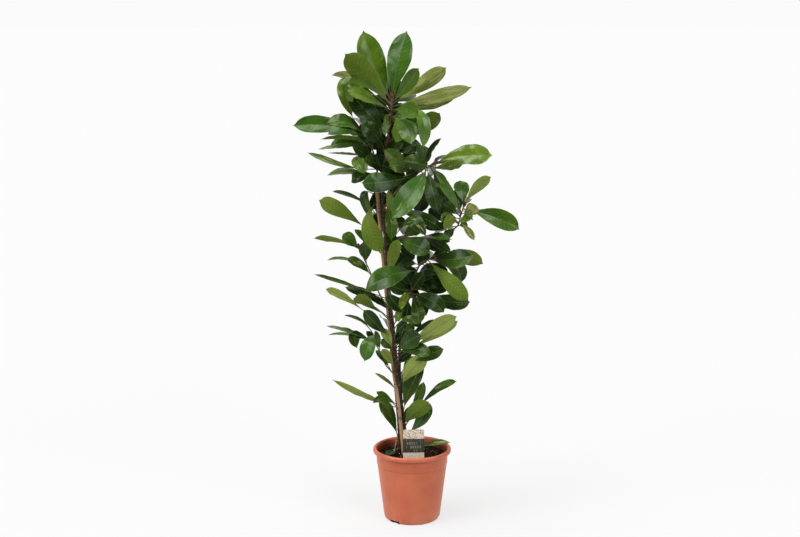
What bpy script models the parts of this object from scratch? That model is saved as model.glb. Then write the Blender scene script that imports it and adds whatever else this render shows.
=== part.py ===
"""A potted fig about 1.3 m tall: woody stems tied up beside a bamboo cane in a plastic nursery pot.

Metres, +Z up, origin at the middle of the pot's underside. Stems and leaves are placed as they are seen from
VIEWPOINT: a row gives x and z in centimetres on the upright plane through the pot's axis, and a depth behind it.
"""

import math
from collections import namedtuple

import bmesh
import bpy
from mathutils import Vector

CM = 0.01
GAP = 0.0003
UP = Vector((0, 0, 1))
VIEWPOINT = Vector((0, -3.7, 1.395))

# Pot, a turned shell
POT_HEIGHT = 0.197
RIM_RADIUS = 0.105
RIM_DEPTH = 0.013
RIM_WIDTH = 0.0095
SHOULDER_RADIUS = 0.0965
SHOULDER_DEPTH = 0.043
SHOULDER_STEP = 0.0012
BASE_RADIUS = 0.0743
FOOT_ROUNDING = 0.008
WALL = 0.0022
POT_SIDES = 64
SLOT_ANGLES = (-39, 81, 201)
SLOT_WIDTH = 0.026
SLOT_HEIGHT = 0.0062

# Soil, filling the pot from its floor
SOIL_TOP = 0.176
SOIL_CROWN = 0.003
SOIL_RINGS = 4

# Card label, standing in the soil in front of the stems
LABEL_WIDTH = 0.056
LABEL_THICKNESS = 0.0009
LABEL_TOP = 0.2635
LABEL_FOOT = 0.158
LABEL_PLACE = Vector((0.0042, -0.058, 0))
LABEL_TURN = math.radians(2)

# Leaf section, half sizes
STALK_RADIUS = 0.0014
BLADE_HALF_THICKNESS = 0.0007
LEAF_FOLD = 0.16
DEFAULT_ARCH = 0.07
BLADE_PEAK = 0.66
DRIP_TIP = 0.06

Stem = namedtuple("Stem", "line radii sides joins")
Leaf = namedtuple("Leaf", "name stem root tip width turn via stalk", defaults=(None, 0.16))

# Lines in centimetres, each point (x, z, depth); radii in centimetres, foot and top
STEMS = {
    "main": Stem(
        (
            (-1.3, 12, 1.0), (-1.75, 18.5, 1.1), (-2.4, 25.5, 1.15), (-3.0, 29.5, 1.2), (-3.55, 35, 1.1),
            (-3.6, 38, 0.75), (-3.62, 40, 0.15), (-3.8, 42, -0.4), (-4.25, 45, -0.45), (-4.8, 50, -0.35),
            (-5.2, 54, -0.25), (-5.7, 58, 0), (-6.2, 63, 0.2), (-6.5, 68, 0.4), (-6.8, 74, 0.6), (-7.3, 80, 0.8),
            (-7.7, 86, 1.0), (-7.5, 92, 1.2), (-7.0, 98, 1.0), (-6.2, 104, 0.5), (-5.5, 109, 0), (-5.2, 113.6, -0.3),
        ),
        (0.60, 0.20), 8, "",
    ),
    "second": Stem(
        (
            (-1.9, 12, 3.0), (-2.0, 18.5, 3.0), (-2.4, 26, 2.9), (-3.0, 34, 2.8), (-3.4, 42, 2.7),
            (-3.1, 50, 2.3), (-1.9, 57, 1.4), (-0.2, 63, 0.4), (1.0, 67.5, -0.2), (2.5, 70.2, -0.6),
            (5.4, 71.6, -1.0),
        ),
        (0.45, 0.17), 7, "",
    ),
    "third": Stem(
        (
            (-4.1, 12, 0.2), (-4.0, 18.5, 0.2), (-4.15, 24, 0.8), (-4.6, 30, 2.8), (-5.2, 40, 3.0),
            (-6.1, 50, 3.0), (-7.2, 60, 3.0), (-8.2, 70.5, 2.9), (-8.5, 76, 2.9), (-8.4, 82, 2.9),
            (-8.7, 90, 2.8), (-9.3, 96, 2.5), (-10.4, 100.5, 1.1), (-11.6, 104.3, -0.4),
        ),
        (0.42, 0.17), 7, "",
    ),
    "upper_right": Stem(
        (
            (-7.6, 84, 0.9), (-6.6, 86, 0.2), (-4.8, 88.4, -0.6), (-2.4, 91, -1.2), (0.4, 93.2, -2),
            (3.0, 95, -2.5), (5.4, 96.3, -2.5),
        ),
        (0.26, 0.16), 6, "main",
    ),
    "right": Stem(
        (
            (-6.9, 75, 0.6), (-5.4, 75.8, -0.2), (-2.6, 76.5, -0.8), (0.4, 77, -1), (4, 77, -1.1),
            (7.7, 77.4, -1.1), (10.2, 78.8, -1.2), (12, 80.2, -1.3), (12.6, 82.4, -1.3), (13.5, 85.4, -1.2),
        ),
        (0.24, 0.14), 6, "main",
    ),
    "left": Stem(
        (
            (-5.6, 57, 0), (-6.9, 58.9, -0.5), (-8.6, 61.8, -0.6), (-10.1, 65.4, -0.6), (-11.4, 68.6, -0.6),
            (-12.7, 71.4, -0.6), (-13.7, 73.9, -0.6),
        ),
        (0.20, 0.12), 6, "main",
    ),
    "lower_left": Stem(
        (
            (-3.65, 38.8, 0.1), (-4.5, 39.6, -1), (-5.9, 41.1, -1.05), (-7.2, 42.8, -0.95), (-8.6, 45.8, -0.9),
            (-9.7, 48.8, -1), (-10.4, 51.2, -1),
        ),
        (0.19, 0.11), 6, "main",
    ),
}

CANE_LINE = (
    (-1.85, 12, -1.1), (-2.4, 18.5, -0.85), (-3.0, 25.5, -0.55), (-4.1, 35, -0.15), (-4.95, 41, 0.1),
    (-5.7, 50, 0.5), (-6.35, 57, 0.75), (-7.4, 69, 1.25), (-8.7, 84, 1.75), (-9.5, 93.5, 1.75),
)
CANE_RADIUS = 0.47
STICK_LINE = ((-5.25, 15.6, -0.6), (-4.9, 17.6, -0.6), (-4.2, 21.6, -0.7))
STICK_RADIUS = 0.14

# Roots and tips in centimetres as seen, tips with a depth; widths in centimetres; turn in degrees from face on
LEAVES = (
    # the crown, round the top of the main stem
    Leaf("leaf_crown_01", "main", (-5.5, 112.6), (-12.5, 130.7, 5), 6.7, 12, None, 0.12),
    Leaf("leaf_crown_02", "main", (-5.1, 113.3), (-1.2, 130.7, 4), 6.5, -20, None, 0.12),
    Leaf("leaf_crown_03", "main", (-5.6, 111.6), (-17.2, 124.8, -5), 6.2, 168, None, 0.12),
    Leaf("leaf_crown_04", "main", (-4.9, 112.2), (1.6, 120.7, -5), 4.7, 14, None, 0.14),
    Leaf("leaf_crown_05", "main", (-4.9, 112), (8.8, 121.3, 2), 4.5, 160, (2.4, 116.2, 2)),
    Leaf("leaf_crown_06", "main", (-4.9, 111.2), (15.5, 116.3, -3), 4.8, 150, (4.6, 113.9, -3)),
    Leaf("leaf_crown_09", "main", (-5.7, 110.9), (-15.3, 108.3, -3), 4.4, 22, (-17, 117.6, -3), 0.14),
    Leaf("leaf_crown_16", "main", (-5.2, 110), (1.7, 108.5, -17), 4.3, 20, (-1.4, 110.6, -9), 0.14),
    Leaf("leaf_crown_18", "main", (-5.2, 109.6), (2.8, 100.3, -6), 3.8, 40, (1.9, 109.2, -5), 0.18),
    Leaf("leaf_crown_19", "main", (-6.4, 102), (7.5, 109.4, 4), 4.7, 165, (2.4, 104.6, 3), 0.18),
    Leaf("leaf_crown_22", "main", (-5.4, 112), (-8.8, 119.5, 17), 5.2, 20, None, 0.14),
    # upper left, mostly round the top of the third stem
    Leaf("leaf_upper_left_01", "third", (-11.3, 103.4), (-30.2, 107, 0), 4.8, 22, (-20.4, 107.2, 0)),
    Leaf("leaf_upper_left_02", "third", (-11.1, 102.8), (-22, 107.1, -5), 4.8, 50, (-16.2, 106.9, -4), 0.14),
    Leaf("leaf_upper_left_04", "third", (-10.8, 101.7), (-23.3, 103.2, -11), 4.2, 108, (-16.8, 103.6, -7), 0.14),
    Leaf("leaf_upper_left_09", "third", (-9.2, 95), (-27.3, 99.2, -4), 4.2, 60, (-17.6, 96.4, -3), 0.22),
    Leaf("leaf_upper_left_16", "third", (-11.2, 103), (-15.5, 108.5, 15), 4.6, 60),
    # upper right shoot
    Leaf("leaf_upper_right_01", "upper_right", (5.3, 96.3), (20.8, 99, -3), 5.2, 150, (12.6, 99.4, -3)),
    Leaf("leaf_upper_right_05", "upper_right", (0.3, 93.2), (-13.2, 91.9, -9), 5.3, 12, (-7, 92.2, -8), 0.12),
    Leaf("leaf_upper_right_06", "upper_right", (4.3, 95.7), (-5.4, 81.9, -15), 6.4, 6, (0.3, 89.4, -13), 0.12),
    Leaf("leaf_upper_right_09", "upper_right", (3.9, 95.4), (6.7, 83.9, -7), 4.6, 18, (5.2, 90, -7), 0.14),
    Leaf("leaf_upper_right_14", "upper_right", (3.4, 95.1), (4.6, 92.4, 13), 4.6, 40, (4.8, 95.4, 6), 0.14),
    # right shoot
    Leaf("leaf_right_01", "right", (12.6, 83.4), (6, 93.9, -5), 3, 48, None, 0.14),
    Leaf("leaf_right_03", "right", (13.4, 85.2), (12.9, 92.3, 2), 4.3, 16, None, 0.14),
    Leaf("leaf_right_04", "right", (13.3, 84.9), (20.3, 93.3, 2), 3.1, 158, None, 0.18),
    Leaf("leaf_right_05", "right", (13, 83.8), (28.3, 79.6, -6), 5.4, 22, (21.3, 83.3, -5)),
    # middle, to the left
    Leaf("leaf_middle_left_02", "third", (-8.3, 82.2), (-20.7, 89.4, 1), 2.8, 68, (-13.4, 87.4, 3), 0.34),
    Leaf("leaf_middle_left_03", "third", (-8.4, 76), (-24.4, 87.2, -3), 4.4, 168, (-15.6, 82.8, -3), 0.34),
    Leaf("leaf_middle_left_04", "main", (-7.6, 84), (-7.9, 73.2, -8), 4.8, 166, (-9.6, 80.4, -8), 0.14),
    Leaf("leaf_middle_left_07", "left", (-13.7, 73.8), (-25.8, 77.1, -2), 2.6, 58, (-19.4, 76.4, -2), 0.14),
    Leaf("leaf_middle_left_13", "main", (-6.1, 60.4), (-26.4, 67.4, -4), 3.6, 50, (-15.4, 64.8, -4), 0.3),
    Leaf("leaf_middle_left_14", "main", (-4.9, 50.2), (-22.9, 63.1, -2), 2.9, 158, (-13.8, 57.6, -2), 0.44),
    Leaf("leaf_middle_left_17", "third", (-8.3, 78.4), (-11.5, 84, 18), 4.4, 50),
    # middle, to the right
    Leaf("leaf_middle_right_01", "second", (1.1, 68), (-12.3, 62.9, -13), 5.6, 26, (-5.2, 67, -12), 0.12),
    Leaf("leaf_middle_right_02", "right", (-4.4, 76.1), (4.7, 72.7, -12), 5, 14, (0.4, 75.2, -9), 0.12),
    Leaf("leaf_middle_right_07", "second", (5, 71.4), (16.2, 72.3, -10), 5.2, 20, (10.2, 71.5, -8), 0.1),
    Leaf("leaf_middle_right_08", "second", (5.2, 71.5), (19, 69.9, -2), 4.8, 148, (12.4, 72.7, -2), 0.14),
    Leaf("leaf_middle_right_09", "second", (4.2, 71.2), (15, 59.9, -13), 5.4, 14, (9.9, 66, -10), 0.1),
    Leaf("leaf_middle_right_11", "second", (-0.3, 62.2), (15.4, 59.7, -3), 4.6, 162, (8.6, 59.9, -3)),
    Leaf("leaf_middle_right_23", "second", (3.2, 70.6), (7, 69.6, 15), 4.6, 50, (5.4, 71.6, 8), 0.14),
    Leaf("leaf_middle_right_25", "right", (-2.6, 76.5), (-0.4, 80.4, 16), 4.8, 40),
    # low, to the right
    Leaf("leaf_lower_right_01", "main", (-4.3, 45.2), (12.2, 55.8, -5), 5, 166, (3.8, 50, -4), 0.3),
    Leaf("leaf_lower_right_07", "main", (-3.4, 36.4), (4.4, 44.9, -4), 4.8, 160, (-0.2, 41, -4), 0.14),
    Leaf("leaf_lower_right_08", "main", (-2.6, 28.8), (3.7, 42.8, 0), 4.6, 26, (-0.5, 36.2, -1)),
    Leaf("leaf_lower_right_11", "main", (-2, 25.4), (11.7, 38, -2), 3.1, 40, (4.2, 34.2, -2), 0.4),
    Leaf("leaf_lower_right_13", "main", (-1.7, 22.8), (4.8, 32, -4), 4.2, 26, (2.4, 27.4, -4)),
    Leaf("leaf_lower_right_15", "second", (-2.8, 36), (-0.5, 40.5, 16), 4, 40),
    # low, to the left
    Leaf("leaf_lower_left_01", "main", (-3, 30.6), (-21.5, 38.5, -7), 2.6, 52, (-11.4, 34.4, -6), 0.2),
    Leaf("leaf_lower_left_04", "third", (-3.9, 21.8), (-9.5, 33.4, 0), 4.2, 20, (-6.4, 29, 0.6), 0.14),
    Leaf("leaf_lower_left_06", "lower_left", (-9.9, 49.4), (-12.7, 43.4, -8), 4.4, 16, (-11.4, 49, -7), 0.12),
    Leaf("leaf_lower_left_07", "lower_left", (-9.6, 48.6), (-23.4, 53.3, -2), 2.8, 62, (-15.6, 51.4, -2), 0.14),
    Leaf("leaf_lower_left_15", "third", (-6, 50), (-8.4, 55.6, 17), 4.2, 60),
    # over the rim of the pot
    Leaf("leaf_pot_01", "main", (-1.4, 19.8), (10.6, 21.2, -4), 2.6, 40, (5.6, 22, -4), 0.34),
)


def seen(x, z, depth=0.0):
    """The point at a depth behind the pot's axis that shows at x, z, all in centimetres."""
    on_plane = Vector((x * CM, 0, z * CM))
    reach = (depth * CM - VIEWPOINT.y) / -VIEWPOINT.y
    return VIEWPOINT + (on_plane - VIEWPOINT) * reach


def smooth_line(points, pieces):
    """Points along a smooth curve through the given ones, pieces to each span."""
    padded = [2 * points[0] - points[1], *points, 2 * points[-1] - points[-2]]
    line = []
    for before, start, end, after in zip(padded, padded[1:], padded[2:], padded[3:], strict=False):
        for step in range(pieces):
            t = step / pieces
            line.append(
                0.5 * (
                    2 * start + (end - before) * t
                    + (2 * before - 5 * start + 4 * end - after) * t**2
                    + (3 * start - before - 3 * end + after) * t**3
                )
            )
    return [*line, points[-1]]


def tangents(line):
    ends = [line[0], *line, line[-1]]
    return [(after - before).normalized() for before, after in zip(ends, ends[2:], strict=False)]


def new_object(name, shape, colour, roughness):
    """An object of the finished bmesh, with its own plain material."""
    shape.normal_update()
    bmesh.ops.recalc_face_normals(shape, faces=shape.faces)
    mesh = bpy.data.meshes.new(name)
    shape.to_mesh(mesh)
    shape.free()
    made = bpy.data.objects.new(name, mesh)
    bpy.context.scene.collection.objects.link(made)
    material = bpy.data.materials.new(name)
    material.use_nodes = True
    surface = material.node_tree.nodes["Principled BSDF"]
    surface.inputs["Base Color"].default_value = (*colour, 1)
    surface.inputs["Roughness"].default_value = roughness
    mesh.materials.append(material)
    return made


def loft(rings):
    """A closed skin over rings of points, with a face over each end."""
    shape = bmesh.new()
    made = [[shape.verts.new(point) for point in ring] for ring in rings]
    count = len(made[0])
    for lower, upper in zip(made, made[1:], strict=False):
        for i in range(count):
            j = (i + 1) % count
            shape.faces.new((lower[i], lower[j], upper[j], upper[i]))
    shape.faces.new(reversed(made[0]))
    shape.faces.new(made[-1])
    return shape


def tube_rings(line, radii, sides):
    """Rings round a line, turned as little as the line lets them."""
    side = UP.cross(tangents(line)[0])
    side = side.normalized() if side.length > 0.1 else Vector((1, 0, 0))
    rings = []
    for point, along, radius in zip(line, tangents(line), radii, strict=True):
        side = (side - side.project(along)).normalized()
        across = along.cross(side)
        angles = (2 * math.pi * i / sides for i in range(sides))
        rings.append([point + radius * (math.cos(a) * side + math.sin(a) * across) for a in angles])
    return rings


def stem_line(name):
    return smooth_line([seen(*point) for point in STEMS[name].line], 2)


def stem_radii(name, count):
    foot, top = STEMS[name].radii
    return [CM * (foot + (top - foot) * i / (count - 1)) for i in range(count)]


def swollen_tube(line, radii, sides, swell):
    """A tube that is thicker all round by swell, and as much longer at its foot."""
    foot = line[0] - tangents(line)[0] * swell
    return loft(tube_rings([foot, *line[1:]], [radius + swell for radius in radii], sides))


def stem_object(name, title, swell=0.0):
    """One stem or branch, or with a swell the cutter of its hole."""
    line = stem_line(name)
    tube = swollen_tube(line, stem_radii(name, len(line)), STEMS[name].sides, swell)
    return new_object(title, tube, (0.10, 0.06, 0.035), 0.85)


def hide(guide):
    guide.hide_render = True
    guide.display_type = "WIRE"
    return guide


def combine(target, guide, operation):
    """A live Boolean of the target with a hidden guide."""
    modifier = target.modifiers.new(guide.name, "BOOLEAN")
    modifier.operation = operation
    modifier.object = hide(guide)


def pot_profile():
    """Outer side from the rim down to the axis, then the inner side back up, as (radius, height)."""
    shoulder_foot = POT_HEIGHT - SHOULDER_DEPTH
    lean = (SHOULDER_RADIUS - SHOULDER_STEP - BASE_RADIUS) / shoulder_foot

    def wall_radius(height):
        return BASE_RADIUS + lean * height

    outside = [
        (RIM_RADIUS - 0.004, POT_HEIGHT),
        (RIM_RADIUS - 0.0012, POT_HEIGHT - 0.0012),
        (RIM_RADIUS, POT_HEIGHT - 0.004),
        (RIM_RADIUS, POT_HEIGHT - RIM_DEPTH + 0.003),
        (RIM_RADIUS - 0.0015, POT_HEIGHT - RIM_DEPTH),
        (SHOULDER_RADIUS + 0.0015, POT_HEIGHT - RIM_DEPTH - 0.001),
        (SHOULDER_RADIUS - 0.0004, POT_HEIGHT - RIM_DEPTH - 0.004),
        (SHOULDER_RADIUS - 0.0016, shoulder_foot + 0.001),
        (wall_radius(shoulder_foot), shoulder_foot - 0.001),
        (wall_radius(FOOT_ROUNDING), FOOT_ROUNDING),
        (BASE_RADIUS - 0.0012, 0.003),
        (BASE_RADIUS - 0.005, 0),
    ]
    inside = [
        (BASE_RADIUS - 0.007, WALL),
        (wall_radius(FOOT_ROUNDING) - WALL, FOOT_ROUNDING),
        (wall_radius(shoulder_foot) - WALL, shoulder_foot),
        (RIM_RADIUS - RIM_WIDTH - 0.0022, POT_HEIGHT - RIM_DEPTH),
        (RIM_RADIUS - RIM_WIDTH, POT_HEIGHT - 0.003),
        (RIM_RADIUS - RIM_WIDTH + 0.0018, POT_HEIGHT),
    ]
    return outside, inside


def turned(profile, closed_loop):
    """A profile of (radius, height) spun about the axis, its ends on the axis unless it is a closed loop."""
    shape = bmesh.new()
    rings = []
    for radius, height in profile:
        turns = (2 * math.pi * i / POT_SIDES for i in range(POT_SIDES))
        rings.append([shape.verts.new((radius * math.cos(a), radius * math.sin(a), height)) for a in turns])
    pairs = list(zip(rings, rings[1:], strict=False))
    if closed_loop:
        pairs.append((rings[-1], rings[0]))
    else:
        shape.faces.new(rings[0])
        shape.faces.new(rings[-1])
    for upper, lower in pairs:
        for i in range(POT_SIDES):
            j = (i + 1) % POT_SIDES
            shape.faces.new((upper[i], upper[j], lower[j], lower[i]))
    return shape


def make_pot():
    outside, inside = pot_profile()
    shape = turned([*reversed(outside), *reversed(inside)], closed_loop=False)
    pot = new_object("pot", shape, (0.50, 0.13, 0.065), 0.45)
    for number, angle in enumerate(SLOT_ANGLES):
        slot = bmesh.new()
        bmesh.ops.create_cube(slot, size=1)
        place = Vector((math.sin(math.radians(angle)), -math.cos(math.radians(angle)), 0))
        across = Vector((-place.y, place.x, 0))
        for corner in slot.verts:
            out, along, height = corner.co
            corner.co = (
                place * (BASE_RADIUS - 0.006 + 0.014 * out)
                + across * SLOT_WIDTH * along
                + UP * (SLOT_HEIGHT * (height + 0.5) - 0.001 * (0.5 - height))
            )
        combine(pot, new_object(f"slot_cutter_{number}", slot, (0, 0, 0), 1), "DIFFERENCE")
    return pot


def make_soil():
    """The root ball and soil, a little domed, with a hole round everything that stands in it."""
    _, inside = pot_profile()
    (floor_radius, floor), (low_radius, low), (wall_radius, wall_height) = inside[:3]
    widest = wall_radius - GAP
    profile = [(floor_radius - GAP, floor + GAP), (low_radius - GAP, low), (widest, wall_height)]
    for ring in range(SOIL_RINGS):
        share = 1 - ring / SOIL_RINGS
        profile.append((widest * share, SOIL_TOP + SOIL_CROWN * (1 - share**2)))
    soil = new_object("soil", turned(profile, closed_loop=False), (0.035, 0.02, 0.013), 0.95)
    for name in ("main", "second", "third"):
        combine(soil, stem_object(name, f"{name}_hole_cutter", 2 * GAP), "DIFFERENCE")
    for name, line, radius in (("cane", CANE_LINE, CANE_RADIUS), ("stick", STICK_LINE, STICK_RADIUS)):
        cutter = rod(f"{name}_hole_cutter", line, radius * CM, (0, 0, 0), 2 * GAP)
        combine(soil, cutter, "DIFFERENCE")
    combine(soil, card("label_hole_cutter", 2 * GAP), "DIFFERENCE")
    return soil


def rod(name, points, radius, colour, swell=0.0):
    """A round rod, or with a swell the cutter of its hole."""
    line = smooth_line([seen(*point) for point in points], 3)
    return new_object(name, swollen_tube(line, [radius] * len(line), 10, swell), colour, 0.6)


def card(name, swell=0.0):
    """The label, or with a swell the cutter of its hole."""
    shape = bmesh.new()
    bmesh.ops.create_cube(shape, size=1)
    across = Vector((math.cos(LABEL_TURN), math.sin(LABEL_TURN), 0))
    forward = UP.cross(across)
    for corner in shape.verts:
        right, deep, high = corner.co
        corner.co = (
            LABEL_PLACE
            + across * right * (LABEL_WIDTH + 2 * swell)
            + forward * deep * (LABEL_THICKNESS + 2 * swell)
            + UP * (LABEL_FOOT - swell + (LABEL_TOP - LABEL_FOOT + 2 * swell) * (high + 0.5))
        )
    return new_object(name, shape, (0.55, 0.48, 0.36), 0.8)


def seat_on(stem, root, aim):
    """The place on a stem's bark where a leaf springs, and the way out of the bark there.

    The root is where the leaf is seen to leave the stem; aim is the point that its stalk heads for.
    """
    line = stem_line(stem)
    radii = stem_radii(stem, len(line))
    dense = [
        (start.lerp(end, step / 8), low + (high - low) * step / 8, (end - start).normalized())
        for start, end, low, high in zip(line, line[1:], radii, radii[1:], strict=False)
        for step in range(8)
    ]

    def offset(place):
        share = -VIEWPOINT.y / (place[0].y - VIEWPOINT.y)
        on_plane = VIEWPOINT + (place[0] - VIEWPOINT) * share
        return (on_plane.x - root[0] * CM) ** 2 + (on_plane.z - root[1] * CM) ** 2

    centre, radius, along = min(dense, key=offset)
    out = aim - centre
    out = (out - out.project(along)).normalized()
    return centre + out * (radius + GAP), out


def blade_share(along):
    """Half width of the blade at a share of its length, as a share of the widest."""
    body = max(0.0, 1 - along / (1 - 0.6 * DRIP_TIP))
    curve = along**1.1 * body**0.55
    peak = BLADE_PEAK**1.1 * (1 - BLADE_PEAK) ** 0.55
    drip = 0.10 * min(1.0, (1 - along) / (2.5 * DRIP_TIP))
    return max(curve / peak, drip if along > 0.8 else 0.0)


def leaf_frame(leaf):
    """Start, middle and tip of the midrib, the way out of the bark, and the way the upper face looks."""
    tip = seen(*leaf.tip)
    via = seen(*leaf.via) if leaf.via else None
    start, out = seat_on(leaf.stem, leaf.root, via or tip)
    chord = (tip - start).normalized()
    to_viewer = (VIEWPOINT - (start + tip) / 2).normalized()
    facing = (to_viewer - to_viewer.project(chord)).normalized()
    side = chord.cross(facing)
    if side.z + 0.3 * side.x < 0:
        side.negate()
    turn = math.radians(leaf.turn)
    upper = facing * math.cos(turn) + side * math.sin(turn)
    if via is None:
        via = (start + tip) / 2 + upper * DEFAULT_ARCH * (tip - start).length
    return start, via, tip, out, upper


def make_leaf(leaf):
    """One leaf with its stalk: a thin solid of four-cornered sections along the midrib."""
    start, via, tip, out, upper = leaf_frame(leaf)
    bend = 2 * via - 0.5 * (start + tip)
    stations = [0.0, 0.05, leaf.stalk] + [leaf.stalk + (1 - leaf.stalk) * k for k in BLADE_STATIONS]
    rings = []
    for t in stations:
        point = (1 - t) ** 2 * start + 2 * t * (1 - t) * bend + t**2 * tip
        along = (2 * (1 - t) * (bend - start) + 2 * t * (tip - bend)).normalized()
        side = along.cross(upper).normalized()
        normal = side.cross(along)
        if t == 0:
            side = (side - side.project(out)).normalized()
            normal = side.cross(out)
        share = blade_share(max(0.0, (t - leaf.stalk) / (1 - leaf.stalk)))
        half = max(STALK_RADIUS if t < 0.9 else 0.0004, leaf.width / 2 * CM * share)
        thick = STALK_RADIUS if t <= leaf.stalk else BLADE_HALF_THICKNESS
        rise = LEAF_FOLD * half if t > leaf.stalk else 0.0
        rings.append([
            point - side * half + normal * rise,
            point - normal * thick,
            point + side * half + normal * rise,
            point + normal * thick,
        ])
    return new_object(leaf.name, loft(rings), (0.05, 0.13, 0.03), 0.4)


BLADE_STATIONS = (0.12, 0.28, 0.45, 0.62, 0.78, 0.9, 0.965, 1.0)


def make_stems():
    titles = {"main": "main_stem", "second": "second_stem", "third": "third_stem"}
    made = {name: stem_object(name, title) for name, title in titles.items()}
    for name, stem in STEMS.items():
        if stem.joins:
            combine(made[stem.joins], stem_object(name, f"{name}_branch"), "UNION")


def clear():
    for old in list(bpy.data.objects):
        bpy.data.objects.remove(old, do_unlink=True)


def main():
    clear()
    make_pot()
    make_soil()
    rod("bamboo_cane", CANE_LINE, CANE_RADIUS * CM, (0.45, 0.28, 0.15))
    rod("short_stick", STICK_LINE, STICK_RADIUS * CM, (0.5, 0.36, 0.22))
    card("plant_label")
    make_stems()
    for leaf in LEAVES:
        make_leaf(leaf)


main()
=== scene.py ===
"""Looks of a potted fig: leaves with their stalks and veins, barked stems, a cane, potting soil and a plastic pot.

Metres, +Z up, origin at the middle of the pot's underside. Stems and leaves are placed as they are seen from
VIEWPOINT: a row gives x and z in centimetres on the upright plane through the pot's axis, and a depth behind it.
"""

import math
import random
from collections import namedtuple

import bmesh
import bpy
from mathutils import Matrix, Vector


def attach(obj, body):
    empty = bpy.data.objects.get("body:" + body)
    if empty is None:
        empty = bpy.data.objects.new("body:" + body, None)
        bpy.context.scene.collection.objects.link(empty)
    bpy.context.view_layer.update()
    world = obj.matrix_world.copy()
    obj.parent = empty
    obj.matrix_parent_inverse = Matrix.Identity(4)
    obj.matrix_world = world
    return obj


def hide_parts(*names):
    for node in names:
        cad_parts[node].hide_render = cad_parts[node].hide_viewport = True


CM = 0.01
MM = 0.001
UP = Vector((0, 0, 1))
VIEWPOINT = Vector((0, -3.7, 1.395))

# Camera: looks along +Y and down, 36 mm wide film
LOOK_DOWN = math.radians(10.83)
LENS = 64.3
SHIFT_X = -0.0151

# Studio: a light comes from its direction, spread over an angle in degrees; the surround lights from above
# and behind more than from the front
SHOWN_GAMMA = 0.87
SURROUND_SHOWN = 0.965
SURROUND_DARK = 0.05
SURROUND_BRIGHT = 0.85
SURROUND_SIDE = (0, 0.75, 0.66)
FLOOR_SHADE = 0.14
FLOOR_GLOW = 0.74
LIGHTS = {
    "light_top": ((-0.25, -0.2, 1.0), 44, 2.5),
    "light_left": ((-1.0, -0.55, 0.6), 34, 1.6),
    "light_right": ((0.75, -0.75, 0.7), 36, 1.5),
}

# Pot
POT_HEIGHT = 0.197
RIM_RADIUS = 0.105
RIM_DEPTH = 0.013
RIM_WIDTH = 0.0095
SHOULDER_RADIUS = 0.0965
SHOULDER_DEPTH = 0.043
SHOULDER_STEP = 0.0024
BASE_RADIUS = 0.0747
FOOT_ROUNDING = 0.008
POT_WALL = 0.0022
POT_SIDES = 144
SLOT_ANGLES = (-39, 81, 201)
SLOT_WIDTH = 0.030
SLOT_HEIGHT = 0.0088

# Soil
SOIL_TOP = 0.176
SOIL_CROWN = 0.003
SOIL_RADIUS = 0.0922
SOIL_FLOOR = 0.0009
SOIL_FLOOR_RADIUS = 0.0705
CRUMB_COUNT = 1500
PERLITE_COUNT = 16

# Card label
LABEL_WIDTH = 0.056
LABEL_THICKNESS = 0.0009
LABEL_TOP = 0.2635
LABEL_FOOT = 0.158
LABEL_BAND_TOP = 0.2381
LABEL_BAND_FOOT = 0.2001
LABEL_PLACE = Vector((0.0042, -0.058, 0))
LABEL_TURN = math.radians(2)

# Stems and rods
STEM_SIDES = 14
ROD_SIDES = 20

# Leaf blade
BLADE_ACROSS = 15
BLADE_ALONG = 42
STALK_STEPS = 26
STALK_SIDES = 6
STALK_RADIUS = 0.0014
BLADE_THICKNESS = 0.0006
LEAF_FOLD = 0.2
DEFAULT_ARCH = 0.07
VEIN_SPACING = 0.0105
ROUND_BLADE = (
    (0, 0.05), (0.1, 0.18), (0.22, 0.38), (0.38, 0.67), (0.54, 0.91), (0.68, 1), (0.79, 0.96), (0.87, 0.8),
    (0.925, 0.54), (0.955, 0.27), (0.968, 0.12), (0.984, 0.06), (1, 0),
)
POINTED_BLADE = (
    (0, 0.06), (0.08, 0.24), (0.18, 0.47), (0.3, 0.73), (0.42, 0.91), (0.55, 1), (0.68, 0.95), (0.79, 0.79),
    (0.87, 0.56), (0.925, 0.32), (0.95, 0.14), (0.975, 0.06), (1, 0),
)

Stem = namedtuple("Stem", "line radii piece")
Leaf = namedtuple("Leaf", "name stem root tip width turn light patch via stalk shape", defaults=(0, None, 0.16, 0.75))

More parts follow.
